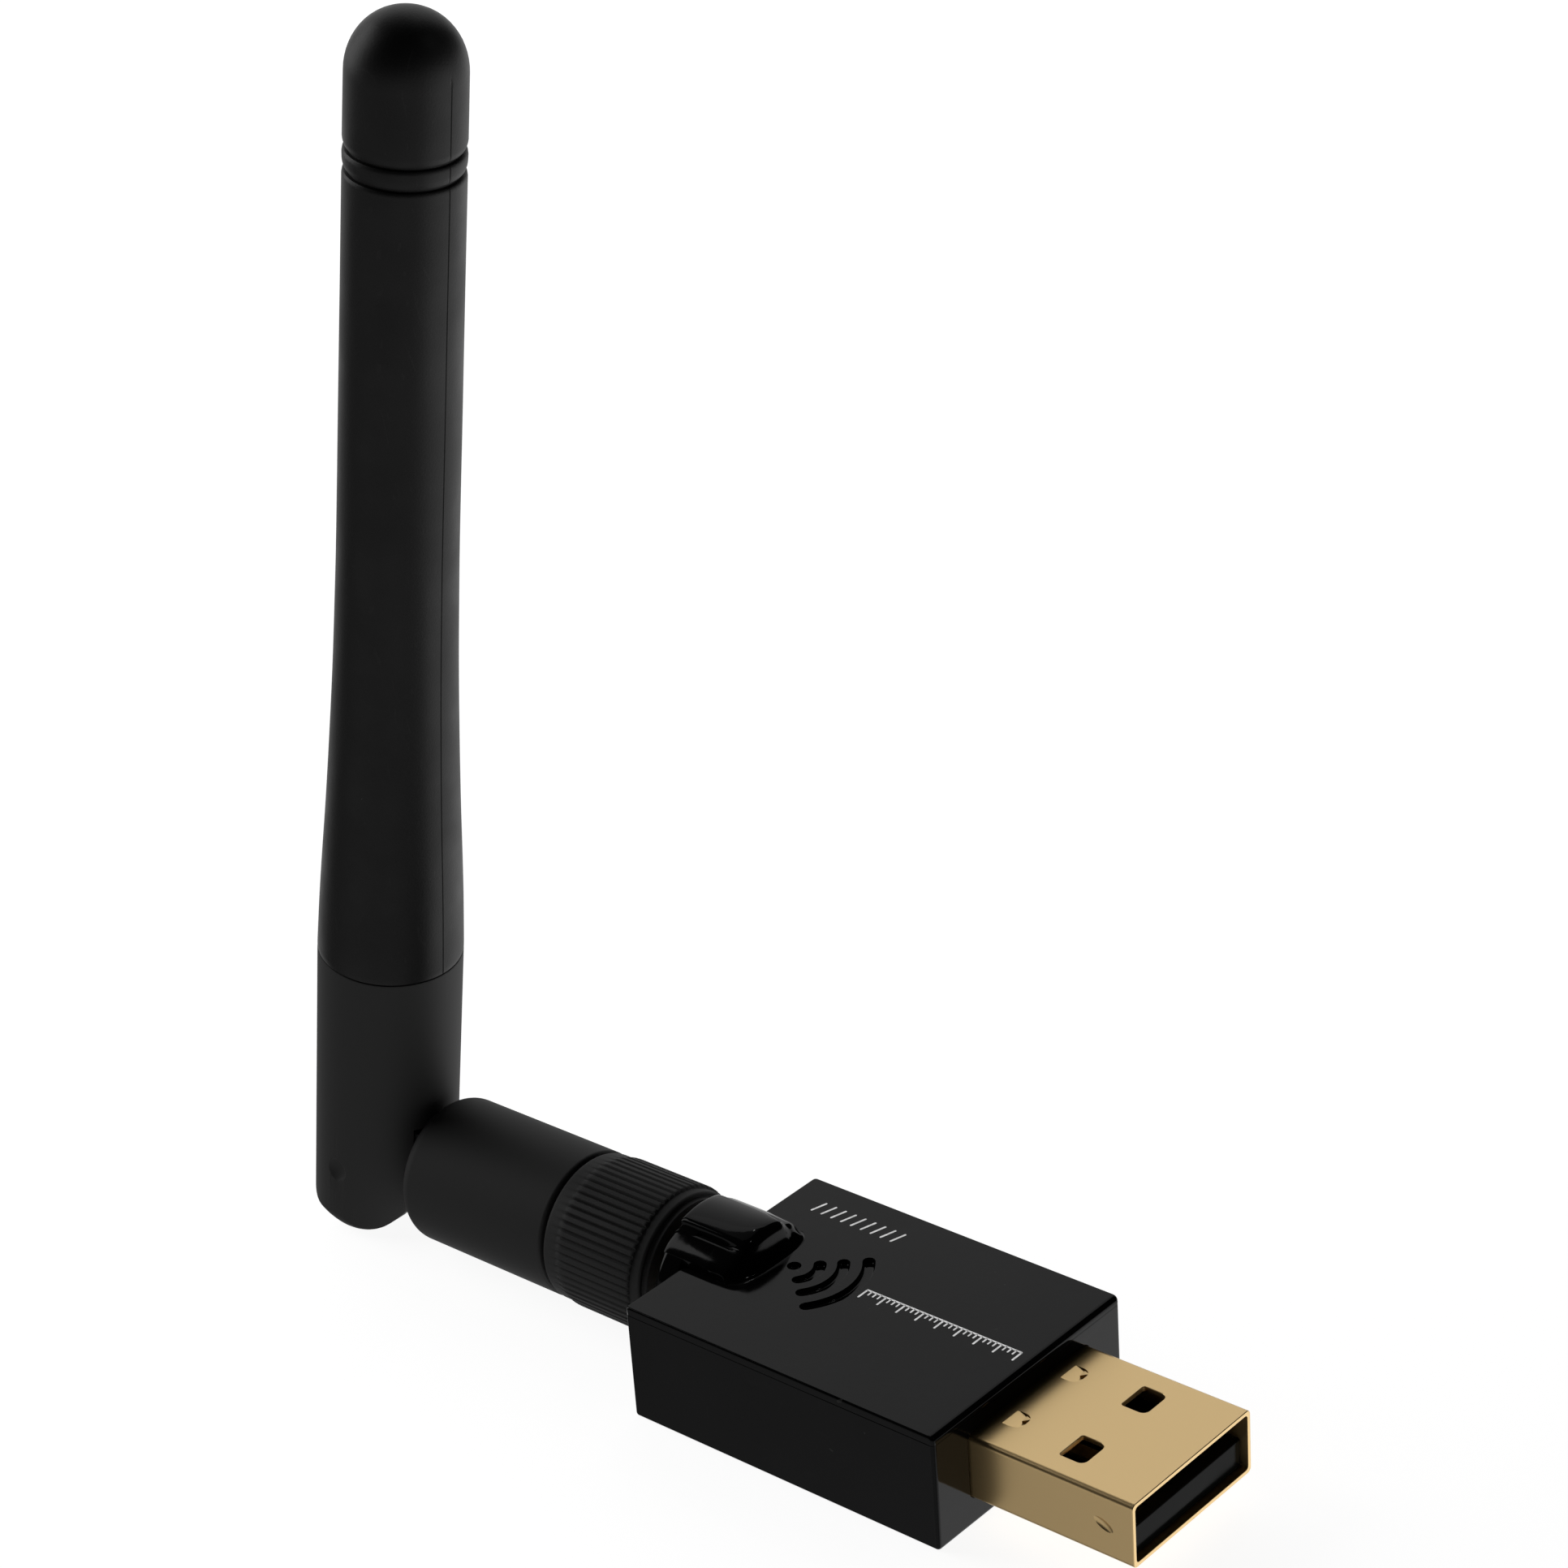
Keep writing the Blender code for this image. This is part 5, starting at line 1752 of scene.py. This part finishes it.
@dataclass
class Studio:
    """Pale floor, soft light and the camera."""

    aim: Vector = field(default_factory=lambda: Vector((-9.6, 6.0, 39.0)) * MM)
    distance: float = 0.25
    azimuth: float = 42.07
    elevation: float = 25.99
    roll: float = -4.06
    lens: float = 93.67
    floor_half: float = 4.0
    floor_tone: float = 0.35
    floor_glow: float = 0.92
    boxes: tuple[Softbox, ...] = (
        Softbox("back_box", 225.0, 28.0, 0.60, (0.76, 0.60), 1.14),
        Softbox("back_left_box", 285.0, 25.0, 0.50, (0.30, 0.40), 0.86),
        Softbox("top_back_box", 222.0, 62.0, 0.55, (0.40, 0.30), 0.06),
        Softbox("left_spark", 205.0, 55.0, 0.50, (0.02, 0.02), 0.02),
        Softbox("right_spark", 120.0, 50.0, 0.50, (0.02, 0.02), 0.02),
    )
    table_glow: tuple[Point2, ...] = ((-135.0, 0.66), (0.0, 0.50), (90.0, 0.37), (135.0, 1.06), (180.0, 0.05))

    def build(self) -> None:
        """Camera, floor, lights and surroundings."""
        self.set_camera()
        self.lay_floor()
        for box in self.boxes:
            box.hang(Vector((0.0, 0.0, 0.02)))
        self.paint_world()
        bpy.context.scene.view_settings.view_transform = "Standard"

    def set_camera(self) -> None:
        """Camera at the viewing angle."""
        data = bpy.data.cameras.new("camera")
        data.lens = self.lens
        data.sensor_width = 36.0
        data.clip_start, data.clip_end = 0.01, 50.0
        camera = bpy.data.objects.new("camera", data)
        bpy.context.collection.objects.link(camera)
        back = direction(self.azimuth, self.elevation)
        level = Vector((math.cos(math.radians(self.azimuth)), math.sin(math.radians(self.azimuth)), 0.0))
        upright = back.cross(level)
        turn = math.radians(self.roll)
        right = level * math.cos(turn) + upright * math.sin(turn)
        rows = (right, back.cross(right), back)
        matrix = Matrix([[row[index] for row in rows] for index in range(3)]).to_4x4()
        matrix.translation = self.aim + back * self.distance
        camera.matrix_world = matrix
        bpy.context.scene.camera = camera

    def lay_floor(self) -> None:
        """A plain pale floor that glows to the eye only, and neither shades nor lights the object."""
        Bench.clear()
        bpy.ops.mesh.primitive_plane_add(size=2 * self.floor_half, location=(0, 0, 0))
        floor = Bench.name("floor")
        paint = bpy.data.materials.new("floor_paint")
        paint.use_nodes = True
        wires = Wiring(paint.node_tree)
        shader = paint.node_tree.nodes["Principled BSDF"]
        shader.inputs["Roughness"].default_value = 0.9
        shader.inputs["Specular IOR Level"].default_value = 0.1
        shader.inputs["Base Color"].default_value = (*(self.floor_tone,) * 3, 1.0)
        shader.inputs["Emission Color"].default_value = (1.0, 1.0, 1.0, 1.0)
        wires.feed(shader.inputs["Emission Strength"],
                   wires.math("MULTIPLY", wires.add("LightPath").outputs["Is Camera Ray"], self.floor_glow))
        paint.cycles.emission_sampling = "NONE"
        floor.data.materials.append(paint)
        floor.visible_glossy = False
        floor.visible_diffuse = False
        floor.visible_shadow = False

    def paint_world(self) -> None:
        """White to the eye; as a light, a table that glows unevenly around the object."""
        world = bpy.data.worlds.new("surroundings")
        world.use_nodes = True
        bpy.context.scene.world = world
        wires = Wiring(world.node_tree)
        way = wires.add("TexCoord").outputs["Generated"]
        flat = wires.add("VectorMath", {"operation": "MULTIPLY"})
        wires.feed(flat.inputs[0], way)
        flat.inputs[1].default_value = (1.0, 1.0, 0.0)
        level = wires.add("VectorMath", {"operation": "NORMALIZE"})
        wires.feed(level.inputs[0], flat.outputs["Vector"])
        height = wires.add("SeparateXYZ", Vector=way).outputs["Z"]
        below = wires.ramp(height, -0.02, 0.02, 1.0, 0.0)
        glow: object = 0.0
        for azimuth, share in self.table_glow:
            facing = wires.add("VectorMath", {"operation": "DOT_PRODUCT"})
            wires.feed(facing.inputs[0], level.outputs["Vector"])
            facing.inputs[1].default_value = direction(azimuth, 0.0)
            lobe = wires.ramp(facing.outputs["Value"], 0.36, 0.95, 0.0, share)
            glow = wires.math("ADD", glow, lobe)
        seen = wires.add("LightPath").outputs["Is Camera Ray"]
        table = wires.math("MULTIPLY", below, glow)
        back = world.node_tree.nodes["Background"]
        wires.feed(back.inputs["Color"], wires.mix(seen, table, (1.0, 1.0, 1.0, 1.0)))
        back.inputs["Strength"].default_value = 1.0


# ---- Facts of the joints --------------------------------------------------------------------------
def joint_facts(name: str) -> dict:
    """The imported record's entry for a joint.

    Args:
        name: Name of the joint.

    Returns:
        Its entry.
    """
    joints = FRAME["record"]["behaviour"]["joints"]
    return next(joint for joint in joints if joint["name"] == name)


def joint_place(name: str) -> Vector:
    """A hinge's place in millimetres."""
    return Vector(joint_facts(name)["pos_m"]) / MM


def joint_limit(name: str) -> float:
    """A hinge's upper limit in degrees."""
    return joint_facts(name)["range_deg"][1]


def main() -> None:
    """Build every piece in order."""
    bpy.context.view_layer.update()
    Studio().build()
    Housing().build()
    JackCover().build()
    Plug().build()
    CouplingNut().build()
    SwivelBody().build()
    RodAntenna().build()
    Insides().build(FRAME["nodes"])
    Bench.clear()


with open("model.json") as file:
    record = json.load(file)
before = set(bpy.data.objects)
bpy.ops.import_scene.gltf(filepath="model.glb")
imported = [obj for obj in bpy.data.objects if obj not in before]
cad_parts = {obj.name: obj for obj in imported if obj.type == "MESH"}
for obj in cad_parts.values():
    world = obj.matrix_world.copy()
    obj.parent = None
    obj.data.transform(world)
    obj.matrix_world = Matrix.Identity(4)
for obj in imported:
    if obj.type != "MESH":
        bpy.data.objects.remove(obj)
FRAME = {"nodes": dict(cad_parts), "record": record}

if __name__ == "__main__":
    logging.basicConfig(level=logging.INFO, format="%(message)s")
    main()
